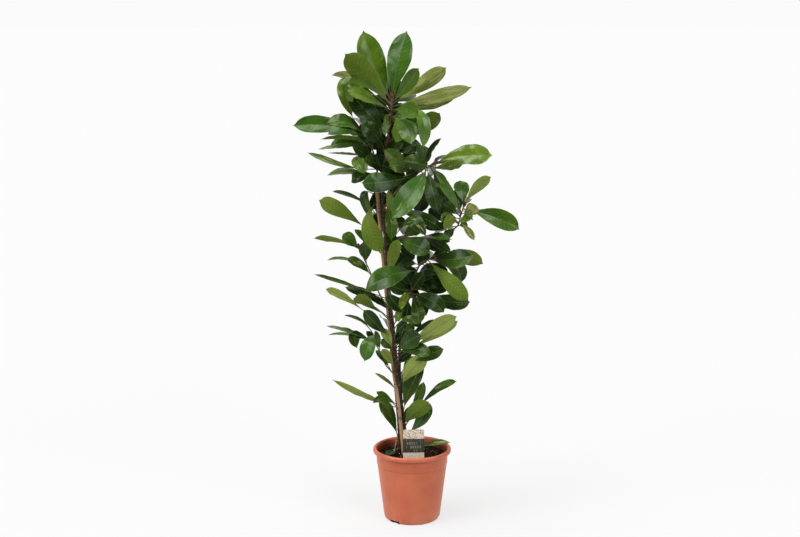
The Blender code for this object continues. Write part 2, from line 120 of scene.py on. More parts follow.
# Lines in centimetres, each point (x, z, depth); radii in centimetres, foot and top
STEMS = {
    "main": Stem(
        (
            (-1.3, 12, 1.0), (-1.75, 18.5, 1.1), (-2.4, 25.5, 1.15), (-2.95, 29.5, 1.2), (-3.35, 33, 1.1),
            (-3.35, 36, 0.4), (-3.65, 38.3, -0.6), (-4.05, 40.5, -0.95), (-4.5, 44, -0.85), (-5.0, 50, -0.55),
            (-5.35, 54, -0.35), (-5.8, 58, -0.1), (-6.2, 63, 0.2), (-6.5, 68, 0.4), (-6.8, 74, 0.6), (-7.3, 80, 0.8),
            (-7.7, 86, 1.0), (-7.5, 92, 1.2), (-7.0, 98, 1.0), (-6.2, 104, 0.5), (-5.5, 109, 0), (-5.2, 113.6, -0.3),
        ),
        (0.78, 0.20), "main_stem",
    ),
    "second": Stem(
        (
            (-1.9, 12, 3.0), (-2.0, 18.5, 3.0), (-2.4, 26, 2.9), (-3.0, 34, 2.8), (-3.4, 42, 2.7),
            (-3.1, 50, 2.3), (-1.9, 57, 1.4), (-0.2, 63, 0.4), (1.0, 67.5, -0.2), (2.5, 70.2, -0.6),
            (5.4, 71.6, -1.0),
        ),
        (0.45, 0.17), "second_stem",
    ),
    "third": Stem(
        (
            (-3.4, 12, 0.5), (-3.4, 18.5, 0.5), (-3.45, 22, 1.2), (-3.6, 26, 2.2), (-3.9, 30, 2.9), (-4.6, 38, 3.1),
            (-5.7, 50, 3.1), (-6.7, 60, 3.1), (-7.7, 70.5, 2.9), (-8.3, 76, 2.9), (-8.4, 82, 2.9),
            (-8.7, 90, 2.8), (-9.3, 96, 2.5), (-10.4, 100.5, 1.1), (-11.6, 104.3, -0.4),
        ),
        (0.42, 0.17), "third_stem",
    ),
    "upper_right": Stem(
        (
            (-7.6, 84, 0.9), (-6.6, 86, 0.2), (-4.8, 88.4, -0.6), (-2.4, 91, -1.2), (0.4, 93.2, -2),
            (3.0, 95, -2.5), (5.4, 96.3, -2.5),
        ),
        (0.26, 0.16), "main_stem",
    ),
    "right": Stem(
        (
            (-6.9, 75, 0.6), (-5.4, 75.8, -0.2), (-2.6, 76.5, -0.8), (0.4, 77, -1), (4, 77, -1.1),
            (7.7, 77.4, -1.1), (10.2, 78.8, -1.2), (12, 80.2, -1.3), (12.6, 82.4, -1.3), (13.5, 85.4, -1.2),
        ),
        (0.24, 0.14), "main_stem",
    ),
    "left": Stem(
        (
            (-5.6, 57, 0), (-6.9, 58.9, -0.5), (-8.6, 61.8, -0.6), (-10.1, 65.4, -0.6), (-11.4, 68.6, -0.6),
            (-12.7, 71.4, -0.6), (-13.7, 73.9, -0.6),
        ),
        (0.20, 0.12), "main_stem",
    ),
    "lower_left": Stem(
        (
            (-3.65, 38.8, 0.1), (-4.5, 39.6, -1), (-5.9, 41.1, -1.05), (-7.2, 42.8, -0.95), (-8.6, 45.8, -0.9),
            (-9.7, 48.8, -1), (-10.4, 51.2, -1),
        ),
        (0.19, 0.11), "main_stem",
    ),
}

CANE_LINE = (
    (-1.85, 12, -1.1), (-2.4, 18.5, -0.85), (-3.0, 25.5, -0.55), (-4.1, 35, -0.15), (-4.95, 41, 0.1),
    (-5.7, 50, 0.5), (-6.35, 57, 0.75), (-7.4, 69, 1.25), (-8.7, 84, 1.75), (-9.5, 93.5, 1.75),
)
CANE_RADIUS = 0.5
STICK_LINE = ((-5.25, 15.6, -0.6), (-4.9, 17.6, -0.6), (-4.2, 21.6, -0.7))
STICK_RADIUS = 0.14

# Roots and tips in centimetres as seen, tips with a depth; widths in centimetres; turn in degrees from face on;
# light from shaded to sunlit and patch from none to wholly bleached, both 0 to 1
LEAVES = (
    # the crown, round the top of the main stem
    Leaf("crown_01", "main", (-5.5, 112.6), (-12.5, 130.7, 5), 6.7, 10, 0.5, via=(-9.7, 122, 2), stalk=0.1, shape=1),
    Leaf("crown_02", "main", (-5.1, 113.3), (-1.3, 130.6, 4), 6.3, 8, 0.5, via=(-3.7, 122.2, 1), stalk=0.1, shape=1),
    Leaf("crown_03", "main", (-5.6, 111.6), (-17.2, 124.8, -5), 6.2, 168, 0.55, 0.1, stalk=0.1, shape=0.35),
    Leaf("crown_04", "main", (-5, 112.3), (1.7, 121.2, -5), 4, 14, 0.35, via=(-1.5, 116.5, -3), stalk=0.1, shape=0.3),
    Leaf("crown_05", "main", (-4.9, 112), (8.8, 121.3, 2), 4.5, 160, 0.75, 0.7, (2.5, 116.7, 2), 0.12, 0.35),
    Leaf("crown_06", "main", (-4.9, 111.2), (15.5, 116.3, -3), 4.3, 150, 0.75, 0.8, (4.7, 113.4, -3), 0.12, 0.55),
    Leaf("crown_07", "main", (-4.9, 110.6), (11.6, 114.6, 4), 3.4, 140, 0.55, 0.7, (4.4, 111.6, 4), 0.14),
    Leaf("crown_08", "main", (-5.7, 112), (-20.8, 119.3, 7), 4.4, 118, 0.8, 0.9, (-13, 117.6, 5)),
    Leaf("crown_09", "main", (-5.7, 110.9), (-15.3, 108.3, -3), 4.4, 22, 0.85, via=(-16.2, 117.1, -3), stalk=0.14),
    Leaf("crown_10", "main", (-5.7, 111.3), (-16.6, 117.6, -6), 5, 66, 0.4, via=(-10.9, 116.2, -4), stalk=0.14),
    Leaf("crown_11", "main", (-5.6, 110.2), (-16.8, 115.4, -10), 3.6, 35, 0.7, via=(-11.6, 113.6, -7), stalk=0.14),
    Leaf("crown_12", "main", (-6, 104.6), (-16.3, 115.3, -1), 6.2, 24, 0.1, via=(-11.2, 109.4, -3), stalk=0.14),
    Leaf("crown_13", "main", (-5.9, 105.4), (-8.9, 112.4, 1), 4, 45, 0.1),
    Leaf("crown_14", "main", (-5.5, 109.4), (-6.9, 103.6, -5), 4.2, 60, 0.75, via=(-6.7, 107.5, -5)),
    Leaf("crown_15", "main", (-5.4, 108.8), (-4.4, 101.8, -8), 4.8, 160, 0.3, 0.3, (-3.4, 106.4, -6)),
    Leaf("crown_16", "main", (-5.2, 110), (1.7, 108.5, -17), 4.3, 20, 0.4, 0.1, (-1.4, 110.6, -9), 0.14),
    Leaf("crown_17", "main", (-5.3, 108), (-0.2, 101.4, -12), 4.6, 12, 0.45, via=(-1.8, 106.3, -8), stalk=0.14),
    Leaf("crown_18", "main", (-5.2, 109.6), (2.8, 100.3, -6), 3.8, 40, 0.7, via=(1.9, 109.2, -5), stalk=0.18),
    Leaf("crown_19", "main", (-6.4, 102), (7.2, 109.6, 4), 4.7, 165, 0.15, 0.2, (2.2, 105.8, 3), 0.18, 0.4),
    Leaf("crown_20", "main", (-6.5, 101.5), (-0.6, 104.8, 6), 4.4, 20, 0.2),
    Leaf("crown_21", "main", (-5.9, 106), (4.6, 104.4, 9), 4.6, 30, 0.3, via=(-0.5, 107.4, 6)),
    Leaf("crown_22", "main", (-5.4, 112), (-8.8, 119.5, 17), 5.2, 20, 0.35, stalk=0.14),
    Leaf("crown_23", "main", (-5.1, 111.6), (0.4, 116.5, 17), 5, -20, 0.35, stalk=0.14),
    Leaf("crown_24", "main", (-5.8, 108), (-10.9, 104.4, 12), 5, 60, 0.3, via=(-9.2, 108.8, 8), stalk=0.14),
    Leaf("crown_25", "main", (-5.3, 109), (-0.4, 104.2, 17), 5, 50, 0.35, via=(-3, 109.2, 10), stalk=0.14),
    Leaf("crown_26", "main", (-6.2, 103.4), (-7.2, 95.4, 11), 4.8, 60, 0.25, via=(-7.4, 101.6, 7), stalk=0.14),
    Leaf("crown_27", "main", (-6.8, 100.2), (-4, 94.6, -4), 3.6, 20, 0.15, via=(-4.4, 98.4, -4), stalk=0.18),
    Leaf("crown_28", "main", (-5.6, 108), (-2, 103.8, 2), 4, 20, 0.1),
    Leaf("crown_29", "main", (-5.8, 107), (-9.8, 104.2, 2), 4, 30, 0.08),
    Leaf("crown_30", "main", (-5.3, 111.4), (-12.4, 121.2, 14), 5.2, 20, 0.35),
    Leaf("crown_31", "main", (-5.6, 107), (3.2, 107.4, 15), 4.8, 30, 0.3),
    Leaf("crown_32", "main", (-5.2, 112.6), (-5.4, 121.6, 15), 5, 0, 0.4),
    Leaf("crown_33", "main", (-5.8, 110.4), (-12, 113.6, 0), 3, 20, 0.12),
    Leaf("crown_34", "main", (-5.2, 112.2), (-3.6, 118.4, 3), 3.6, 5, 0.3),
    Leaf("crown_35", "main", (-5.3, 108.4), (-0.6, 109.4, -1), 3.2, 30, 0.3),
    Leaf("crown_36", "main", (-5.6, 108), (-9.4, 110.8, 3), 4, 20, 0.12),
    Leaf("crown_37", "main", (-5.8, 105), (-13, 109.4, 6), 5.2, 15, 0.08),
    Leaf("crown_38", "main", (-5.7, 106), (-1.4, 111.6, 6), 5.2, 15, 0.1),
    Leaf("crown_39", "main", (-6.4, 101.6), (-9.8, 107.4, 5), 5, 10, 0.06),
    Leaf("crown_40", "main", (-6.4, 101.4), (-2.6, 106.8, 5), 5, 10, 0.06),
    Leaf("crown_41", "main", (-6.8, 99), (-10.2, 103.2, 4), 4.6, 10, 0.05),
    Leaf("crown_42", "main", (-5.4, 109.4), (-10.4, 113.6, 5), 4.4, 10, 0.08),
    Leaf("crown_43", "main", (-6.2, 103), (-6, 110.5, 5), 4.6, 5, 0.06),
    Leaf("crown_44", "main", (-7, 97), (-6.8, 103.6, 4), 4.4, 5, 0.05),
    Leaf("crown_45", "main", (-5.4, 109), (-5.4, 115.5, 5), 4.6, 5, 0.1),
    Leaf("crown_46", "main", (-6.9, 98.6), (-3.2, 101.4, 4), 4, 10, 0.08),
    # upper left, mostly round the top of the third stem
    Leaf("upper_left_01", "third", (-11.3, 103.4), (-30.9, 106.3, 0), 4.8, 22, 0.35, 0.4, (-20.4, 106.3, 0), shape=0.2),
    Leaf("upper_left_02", "third", (-11.1, 102.8), (-22, 107.1, -5), 4.8, 50, 0.3, via=(-16.2, 106.9, -4), stalk=0.14),
    Leaf("upper_left_03", "third", (-11, 102.3), (-22, 104, -8), 4.8, 52, 0.25, via=(-16.2, 105.2, -6), stalk=0.14),
    Leaf("upper_left_04", "third", (-10.8, 101.7), (-23.8, 102.8, -11), 4.2, 108, 0.3, 0.2, (-17, 103, -7), 0.14),
    Leaf("upper_left_05", "main", (-6.9, 99.4), (-13.2, 106.4, -6), 4.6, 25, 0.15, via=(-9.6, 104, -5)),
    Leaf("upper_left_06", "third", (-10.6, 101.1), (-21.4, 100.9, -5), 3.6, 38, 0.4, via=(-16.2, 101.9, -4), stalk=0.18),
    Leaf("upper_left_07", "third", (-10.7, 101.4), (-24.5, 100.2, 4), 3.2, 70, 0.7, 0.5, (-17.5, 100.9, 3)),
    Leaf("upper_left_08", "third", (-9.8, 98.6), (-22, 99.3, 3), 3, 84, 0.45, 0.5, (-15.6, 98.8, 2), 0.18),
    Leaf("upper_left_09", "third", (-9.2, 95), (-27.2, 99.4, -4), 3.2, 60, 0.45, 0.6, (-17.6, 95.9, -3), 0.3, 0.4),
    Leaf("upper_left_10", "third", (-8.8, 92), (-22.2, 93.4, 4), 3.6, 58, 0.75, via=(-15.6, 94.2, 3), stalk=0.22),
    Leaf("upper_left_11", "third", (-9.8, 98.4), (-12.1, 93.6, -5), 3.4, 30, 0.8, via=(-14, 97.8, -4), stalk=0.18),
    Leaf("upper_left_12", "third", (-9.4, 96.6), (-15.7, 101.2, -5), 3.6, 22, 0.15, stalk=0.18),
    Leaf("upper_left_13", "third", (-9.3, 95.8), (-12.6, 97.8, -4), 3.2, 30, 0.45, 0.1, stalk=0.18),
    Leaf("upper_left_14", "third", (-10.2, 100), (-11.6, 104.8, -7), 4, 20, 0.2, via=(-10.4, 103, -4), stalk=0.18),
    Leaf("upper_left_15", "third", (-9, 94), (-15.9, 91.8, -2), 3.6, 30, 0.15, via=(-13.2, 93.3, -2), stalk=0.18),
    Leaf("upper_left_16", "third", (-11.2, 103), (-15.5, 108.5, 15), 4.6, 60, 0.35),
    Leaf("upper_left_17", "third", (-9.9, 99.2), (-12.4, 93.2, 13), 4.6, 60, 0.3, via=(-11.4, 97.8, 8)),
    Leaf("upper_left_18", "third", (-11.4, 103.8), (-9.6, 108.6, 9), 4.6, 30, 0.25),
    Leaf("upper_left_19", "third", (-8.8, 91), (-10.7, 84.2, 3), 3.4, 30, 0.08),
    Leaf("upper_left_20", "third", (-9.6, 97.4), (-6.6, 101.6, 3), 3.4, 20, 0.08),
    Leaf("upper_left_21", "main", (-7.4, 93.4), (-12.4, 98.8, 4), 4, 30, 0.1),
    Leaf("upper_left_22", "third", (-10.4, 100.4), (-17.8, 102.6, 10), 4.6, 40, 0.3),
    Leaf("upper_left_23", "third", (-9, 94), (-10.8, 90.2, 14), 4.6, 50, 0.3),
    Leaf("upper_left_24", "main", (-7.4, 93), (-9.4, 99.2, 2), 3.4, 20, 0.08),
    Leaf("upper_left_25", "third", (-9.2, 95), (-5, 97.6, 4), 4.6, 10, 0.05),
    Leaf("upper_left_26", "third", (-9.7, 98), (-14.6, 103.4, 5), 4.8, 15, 0.08),
    Leaf("upper_left_27", "third", (-10.2, 100.2), (-13.4, 106.8, 3), 4.4, 15, 0.1),
    # upper right shoot
    Leaf("upper_right_01", "upper_right", (5.3, 96.3), (20.9, 98.6, -3), 5.9, 24, 0.75, via=(12, 98.5, -3), shape=0.25),
    Leaf("upper_right_02", "upper_right", (4.8, 95.8), (13.4, 96.9, -8), 4.2, 122, 0.4, 0.6, (8.6, 95.2, -6)),
    Leaf("upper_right_03", "upper_right", (5, 96.1), (9.3, 98.8, 2), 2.6, 66, 0.2),
    Leaf("upper_right_04", "upper_right", (4.6, 95.9), (-2.4, 97.3, -6), 4.3, 24, 0.25, via=(1.6, 96.5, -5), stalk=0.14),
    Leaf("upper_right_05", "upper_right", (0.3, 93.2), (-13.2, 91.5, -9), 5.3, 12, 0.15, via=(-7, 91.7, -8), stalk=0.12),
    Leaf("upper_right_06", "upper_right", (4.3, 95.7), (-5.4, 81.9, -15), 5.8, 6, 0.4, 0.35, (0.3, 89.4, -13), 0.12, 0.85),
    Leaf("upper_right_07", "upper_right", (0.6, 93.5), (-7.4, 100.2, -6), 4, 12, 0.4),
    Leaf("upper_right_08", "upper_right", (0.9, 93.6), (-6.1, 95.9, -10), 3.8, 16, 0.25, via=(-2.6, 95.8, -8), stalk=0.14),
    Leaf("upper_right_09", "upper_right", (3.9, 95.4), (6.7, 83.9, -7), 4.6, 18, 0.15, via=(5.2, 90, -7), stalk=0.14),
    Leaf("upper_right_10", "upper_right", (4.6, 95.7), (7.7, 86.8, -3), 3.2, 48, 0.25, via=(6.9, 91.6, -3), stalk=0.14),
    Leaf("upper_right_11", "upper_right", (3.1, 95), (7.6, 103.2, -1), 3.4, 66, 0.1, 0.2),
    Leaf("upper_right_12", "upper_right", (1.6, 94.2), (-2.2, 99.4, 2), 4.4, 14, 0.05, stalk=0.14),
    Leaf("upper_right_13", "upper_right", (2.6, 94.8), (2.8, 101.4, 3), 4, 20, 0.25, stalk=0.14),
    Leaf("upper_right_14", "upper_right", (3.4, 95.1), (4.6, 92.4, 13), 4.6, 40, 0.3, via=(4.8, 95.4, 6), stalk=0.14),
    Leaf("upper_right_15", "upper_right", (-1.2, 91.9), (-4.6, 86.6, 2), 4.2, 30, 0.1, via=(-3.6, 90.2, 1)),
    Leaf("upper_right_16", "upper_right", (-2.6, 90.8), (3, 87.2, 6), 4.4, 40, 0.1, via=(0.2, 90.2, 4)),
    Leaf("upper_right_17", "main", (-7, 99), (2.4, 101.6, 3), 4.2, 20, 0.08),
    Leaf("upper_right_18", "main", (-7.2, 97), (-2.6, 103, 2), 3.6, 25, 0.1),
    Leaf("upper_right_19", "upper_right", (1.2, 93.7), (4.2, 100.4, 2), 4, 20, 0.08),
    Leaf("upper_right_20", "upper_right", (3.4, 95.1), (1.6, 83.4, 2), 4.6, 20, 0.08),
    Leaf("upper_right_21", "upper_right", (4.6, 95.8), (9.4, 85, 3), 4.4, 15, 0.08),
    Leaf("upper_right_22", "upper_right", (3.8, 95.4), (-1.4, 99, 12), 4.6, 40, 0.3),
    Leaf("upper_right_23", "upper_right", (5, 96.1), (8.4, 87.2, 8), 4.4, 40, 0.3, via=(7.2, 92, 5)),
    Leaf("upper_right_24", "upper_right", (4.8, 96), (11.4, 96.9, -1), 2.2, 60, 0.5),
    Leaf("upper_right_25", "upper_right", (-5.4, 87.6), (-4, 95.8, 1), 4.8, 10, 0.1),
    Leaf("upper_right_26", "upper_right", (-0.6, 92.3), (-7.8, 94.4, 2), 3.2, 20, 0.08),
    Leaf("upper_right_27", "upper_right", (0.4, 93.2), (3.4, 97.6, 0), 3.6, 20, 0.15),
    Leaf("upper_right_28", "upper_right", (-0.5, 92.6), (-8, 96.2, -3), 4.4, 20, 0.06),
    Leaf("upper_right_29", "upper_right", (1.2, 93.9), (-2.6, 90.2, -3), 3.4, 20, 0.08),
    Leaf("upper_right_30", "upper_right", (2.6, 94.8), (-1.6, 93.2, -5), 3, 30, 0.06),
    Leaf("upper_right_31", "upper_right", (-2.8, 90.6), (-9.4, 91, 3), 4, 15, 0.06),
    Leaf("upper_right_32", "upper_right", (2.4, 94.6), (5.2, 88.4, 0), 4.2, 20, 0.1),
    # right shoot
    Leaf("right_01", "right", (12.6, 83.4), (6, 93.9, -5), 3, 48, 0.6, 0.4, stalk=0.14),
    Leaf("right_02", "right", (12.5, 82.8), (6.7, 91.4, -8), 3, 50, 0.55, 0.2, stalk=0.14),
    Leaf("right_03", "right", (13.4, 85.2), (12.5, 92.1, 2), 4.2, 16, 0.4, stalk=0.14, shape=0.3),
    Leaf("right_04", "right", (13.3, 84.9), (20.6, 93.1, 2), 3.1, 158, 0.7, via=(16.2, 89.5, 1), stalk=0.18, shape=0.3),
    Leaf("right_05", "right", (13.2, 84.6), (28.2, 79.1, -6), 5.4, 22, 0.4, 0.1, (21.2, 82.5, -5)),
    Leaf("right_06", "right", (12.9, 83.2), (16.8, 85.6, -8), 3.6, 170, 0.75, 0.9, (15, 84, -5)),
    Leaf("right_07", "right", (12.5, 82), (13.9, 81.2, -9), 1.8, 20, 0.75, via=(13, 82, -6)),
    Leaf("right_08", "right", (12.4, 81.4), (16.4, 76.2, -5), 2.1, 24, 0.75, 0.8),
    Leaf("right_09", "right", (12.3, 80.8), (8.2, 79.2, -9), 3.6, 164, 0.45, 0.5, (10.4, 81.6, -6), 0.14),
    Leaf("right_10", "right", (12.5, 82.4), (10.4, 83.8, 10), 3.6, 40, 0.25),
    Leaf("right_11", "right", (13.2, 84), (14.8, 82.6, 13), 3.8, 60, 0.35),
    Leaf("right_12", "right", (8.8, 78), (9.6, 80.6, 13), 3.4, 40, 0.3),
    Leaf("right_13", "right", (12.2, 80.6), (4.2, 84.6, 2), 4.2, 15, 0.08),
    Leaf("right_14", "right", (12.5, 82), (7.4, 82.2, 1), 3.4, 20, 0.1),
    Leaf("right_15", "right", (11.6, 79.8), (3.2, 79.6, -3), 2.8, 30, 0.15),
    Leaf("right_16", "right", (12.6, 82), (16, 82.6, -4), 3, 30, 0.6, 0.4),
    Leaf("right_17", "right", (10.2, 78.8), (5.6, 77.8, 14), 4, 50, 0.3),
    Leaf("right_18", "right", (13.2, 84.6), (13, 88.2, 14), 4, 40, 0.3),
    Leaf("right_19", "right", (12.9, 83.4), (11.2, 89.8, 1), 3.2, 20, 0.15),
    Leaf("right_20", "right", (12.6, 82.6), (7.9, 86.2, 0), 3.6, 20, 0.2),
    Leaf("right_21", "right", (12, 80.2), (14.6, 80.4, -1), 2.6, 30, 0.5, 0.2),
    Leaf("right_22", "right", (12.2, 80.4), (7.4, 81.4, -8), 3.2, 35, 0.5, 0.4, (10, 82.2, -5)),
    Leaf("right_23", "right", (11.4, 79.6), (8.6, 76.8, -4), 2.6, 30, 0.35),
    # middle, to the left
    Leaf("middle_left_01", "third", (-8.9, 87.4), (-10.5, 81.5, -1), 3, 42, 0.15, via=(-12.4, 88.7, -1), stalk=0.2),
    Leaf("middle_left_02", "third", (-8.3, 82.2), (-20.9, 89.2, 1), 2.8, 68, 0.4, 0.1, (-13.4, 86.7, 3), 0.34, 0.4),
    Leaf("middle_left_03", "third", (-8.4, 76), (-24.4, 86.9, -3), 4.3, 168, 0.45, 0.25, (-15.9, 82.3, -3), 0.34, 0),
    Leaf("middle_left_04", "third", (-8.7, 86.6), (-7.6, 73, -8), 4.9, 166, 0.35, 0.1, (-11.5, 81.2, -7), shape=0),
    Leaf("middle_left_05", "main", (-7.4, 81.4), (-5.6, 88.9, -9), 3.4, 146, 0.55, stalk=0.18),
    Leaf("middle_left_06", "main", (-7.7, 85.6), (-5.4, 76.2, -5), 3.6, 28, 0.45, 0.1, (-5.7, 82, -5), 0.18),
    Leaf("middle_left_07", "left", (-13.7, 73.8), (-25.9, 76.8, -2), 2.6, 122, 0.55, 0.4, (-19.4, 76.1, -2), 0.14, 0.3),
    Leaf("middle_left_08", "left", (-13.7, 73.7), (-18.2, 78, -1), 3.5, 14, 0.5, 0.4, stalk=0.14, shape=0.2),
    Leaf("middle_left_09", "third", (-8.4, 72.6), (-15.2, 79.2, -4), 2.7, 44, 0.55, 0.3, (-11.8, 76.2, -3), 0.12, 0.2),
    Leaf("middle_left_10", "left", (-12.2, 70.4), (-12.6, 76, -2), 3.5, 10, 0.3, stalk=0.12),
    Leaf("middle_left_11", "left", (-10.9, 66.6), (-17.3, 71.4, -3), 3, 34, 0.25, 0.3, (-13.4, 69.5, -3), 0.14, 0.4),
    Leaf("middle_left_12", "left", (-11.8, 69.4), (-22.4, 70.9, 3), 2.4, 66, 0.35, 0.4, (-17.6, 71.2, 2), 0.14),
    Leaf("middle_left_13", "main", (-6.1, 60.4), (-26, 67.2, -4), 1.8, 50, 0.25, 0.3, (-15.4, 63.9, -4), 0.3, 0.3),
    Leaf("middle_left_14", "main", (-4.9, 50.2), (-22.9, 63.2, -2), 2.5, 158, 0.95, 0.1, (-14.6, 58.7, -2), 0.44, 0.1),
    Leaf("middle_left_15", "main", (-5.3, 54.2), (-15.6, 60.6, -8), 3.8, 150, 0.65, via=(-10.8, 58.9, -5), stalk=0.4, shape=0.3),
    Leaf("middle_left_16", "main", (-6.4, 65.2), (-3.4, 76.6, -5), 3.4, 164, 0.65, via=(-5.2, 71.6, -4), stalk=0.14),
    Leaf("middle_left_17", "third", (-8.3, 78.4), (-11.5, 84, 18), 4.4, 50, 0.25),
    Leaf("middle_left_19", "main", (-7.8, 87.6), (-3.6, 84.2, 12), 4.8, 60, 0.25, via=(-5.2, 88.2, 8)),
    Leaf("middle_left_20", "left", (-13.4, 73.2), (-12.6, 79, 0), 1.6, 60, 0.4),
    Leaf("middle_left_21", "main", (-6.1, 60.2), (-17.8, 63.8, -2), 2.8, 30, 0.12, via=(-12, 61.8, -3)),
    Leaf("middle_left_22", "main", (-7.2, 79), (-4.6, 74.6, -3), 3.4, 20, 0.1),
    Leaf("middle_left_23", "main", (-7.6, 85), (-3.2, 80.6, 2), 3.6, 20, 0.08),
    Leaf("middle_left_25", "third", (-8.4, 80), (-9.6, 87.4, 13), 4.4, 40, 0.3),
    Leaf("middle_left_26", "main", (-7.4, 81), (-1.4, 80.8, 0), 3.2, 20, 0.1),
    Leaf("middle_left_27", "main", (-5.6, 57), (-11.4, 61, -2), 2.4, 40, 0.2, via=(-8.4, 59.6, -2)),
    Leaf("middle_left_28", "main", (-5.4, 55.4), (-13.4, 59, -3), 1.6, 60, 0.3, via=(-9.4, 57.6, -2)),
    Leaf("middle_left_29", "third", (-8.3, 77), (-8.4, 84, 5), 4.6, 10, 0.05),
    Leaf("middle_left_30", "main", (-7, 77), (-6.6, 84.4, 5), 4.4, 10, 0.06),
    Leaf("middle_left_31", "third", (-8.3, 82), (-8.6, 89.6, 5), 4.8, 10, 0.05),
    Leaf("middle_left_32", "main", (-6.6, 70), (-5.6, 77.6, 5), 4.2, 10, 0.06),
    # middle, to the right
    Leaf("middle_right_01", "second", (1.1, 68), (-12.6, 62.7, -13), 6.1, 26, 0.25, 0.1, (-5.2, 67, -12), 0.12),
    Leaf("middle_right_02", "right", (-4.4, 76.1), (4.7, 72.7, -12), 5, 14, 0.2, 0.1, (0.4, 75.2, -9), 0.12),
    Leaf("middle_right_03", "right", (-5.2, 75.8), (3.7, 77.1, -8), 3.6, 36, 0.25, 0.5, (-0.4, 81.3, -6), 0.14),
    Leaf("middle_right_04", "main", (-7.6, 84.6), (8, 78.7, -6), 3.4, 30, 0.1, via=(1.4, 82.8, -5), stalk=0.18),
    Leaf("middle_right_05", "right", (2.4, 77), (10.3, 73, -5), 3, 44, 0.15, via=(6.2, 75.8, -4)),
    Leaf("middle_right_06", "right", (2, 76.9), (10.4, 76.4, -8), 3.4, 58, 0.4, 0.2, (5.6, 77.3, -6)),
    Leaf("middle_right_07", "second", (5, 71.4), (16.2, 72.3, -10), 5.2, 20, 0.15, via=(10.2, 71.1, -8), stalk=0.1, shape=0.6),
    Leaf("middle_right_08", "second", (5.2, 71.5), (18.8, 69.9, -2), 4.8, 148, 0.55, 0.15, (12.4, 71.9, -2), 0.14),
    Leaf("middle_right_09", "second", (4.2, 71.2), (15, 59.9, -13), 4.6, 166, 0.35, 0.15, (9.4, 65.5, -10), 0.1, 0.6),
    Leaf("middle_right_10", "second", (5, 71.4), (13, 64.8, -4), 4.8, 30, 0.15, via=(11, 69.4, -5), stalk=0.12),
    Leaf("middle_right_11", "second", (-0.3, 62.2), (15.4, 59.7, -3), 4.6, 24, 0.2, 0.3, (8.6, 59.9, -3)),
    Leaf("middle_right_12", "second", (-0.4, 61.9), (8.5, 56.8, -8), 4.4, 14, 0.15, via=(4.6, 60.3, -6), stalk=0.12),
    Leaf("middle_right_13", "second", (-0.5, 61.5), (1.6, 53.5, -9), 3.6, 18, 0.2, via=(1.3, 58, -8), stalk=0.14),
    Leaf("middle_right_14", "main", (-6.2, 62.8), (-2.2, 57, -7), 4.2, 24, 0.15, via=(-5.2, 60.2, -6), stalk=0.14),
    Leaf("middle_right_15", "second", (-0.3, 62.4), (-3, 57.5, -11), 2.2, 20, 0.8, via=(-1.8, 61.2, -8)),
    Leaf("middle_right_16", "main", (-4.8, 52), (1.3, 53.5, -6), 2.1, 30, 0.7, via=(-1.8, 55.1, -5), stalk=0.28),
    Leaf("middle_right_17", "main", (-4.7, 50.8), (-1.2, 54.4, -3), 2.6, 20, 0.15),
    Leaf("middle_right_18", "main", (-4.6, 49), (0.7, 53.5, 1), 3.2, 165, 0.3, 0.5, stalk=0.18),
    Leaf("middle_right_19", "second", (0.6, 65.6), (6.2, 67.2, -5), 3.8, 40, 0.05),
    Leaf("middle_right_20", "second", (0.2, 64), (6.6, 63.4, -2), 4.2, 50, 0.1, via=(3.2, 65, -2)),
    Leaf("middle_right_21", "second", (-0.2, 62.8), (-6.4, 64.6, -6), 4, 24, 0.15, via=(-3.2, 63.2, -5)),
    Leaf("middle_right_22", "main", (-6.4, 66.4), (0.2, 72.2, 2), 4.6, 24, 0.1, via=(-3, 70.4, 1)),
    Leaf("middle_right_23", "second", (3.2, 70.6), (7, 69.6, 15), 4.6, 50, 0.3, via=(5.4, 71.6, 8), stalk=0.14),
    Leaf("middle_right_24", "second", (0.8, 66.4), (-1.2, 63.8, 15), 4.6, 60, 0.25),
    Leaf("middle_right_25", "right", (-2.6, 76.5), (-0.4, 80.4, 16), 4.8, 40, 0.2),
    Leaf("middle_right_26", "main", (-5.6, 58.8), (-2.6, 60, 11), 4.4, 60, 0.2),
    Leaf("middle_right_27", "main", (-5.2, 55.4), (-3.5, 54.2, -4), 2.4, 20, 0.7, via=(-4, 56.4, -3), stalk=0.2),
    Leaf("middle_right_28", "right", (0.4, 77), (7.6, 74, 1), 3.4, 20, 0.08),
    Leaf("middle_right_29", "second", (1.4, 68.2), (4, 73.4, 2), 3.6, 20, 0.08),
    Leaf("middle_right_30", "second", (2, 69.6), (-3.4, 70.4, 2), 3.4, 20, 0.08),
    Leaf("middle_right_31", "second", (0.8, 66.6), (6, 69.2, -1), 3.2, 30, 0.1),
    Leaf("middle_right_32", "second", (0.2, 64.4), (-4.4, 66.4, 1), 3.6, 20, 0.08),
    Leaf("middle_right_33", "second", (-0.2, 62.8), (9.8, 63.4, 0), 3.6, 20, 0.08),
    Leaf("middle_right_34", "second", (0.2, 64.6), (9.2, 66.6, 1), 3.8, 20, 0.05),
    Leaf("middle_right_35", "second", (-0.3, 62), (3.8, 55.9, -5), 3.4, 20, 0.15),
    Leaf("middle_right_36", "second", (-0.8, 60.6), (-1.8, 54.8, -4), 3, 20, 0.1),
    Leaf("middle_right_37", "main", (-6.5, 68), (-1.4, 63.4, 2), 3.6, 20, 0.08),
    Leaf("middle_right_38", "main", (-7, 77), (1.4, 73.4, 13), 4.6, 50, 0.3),
    Leaf("middle_right_39", "second", (2.4, 70), (9.6, 64.8, 9), 4.4, 50, 0.3),
    Leaf("middle_right_40", "main", (-6.4, 66), (-2.4, 72.4, 12), 4.2, 40, 0.3),
    Leaf("middle_right_41", "second", (-0.6, 61.4), (5.6, 58.4, 12), 4.6, 50, 0.3),
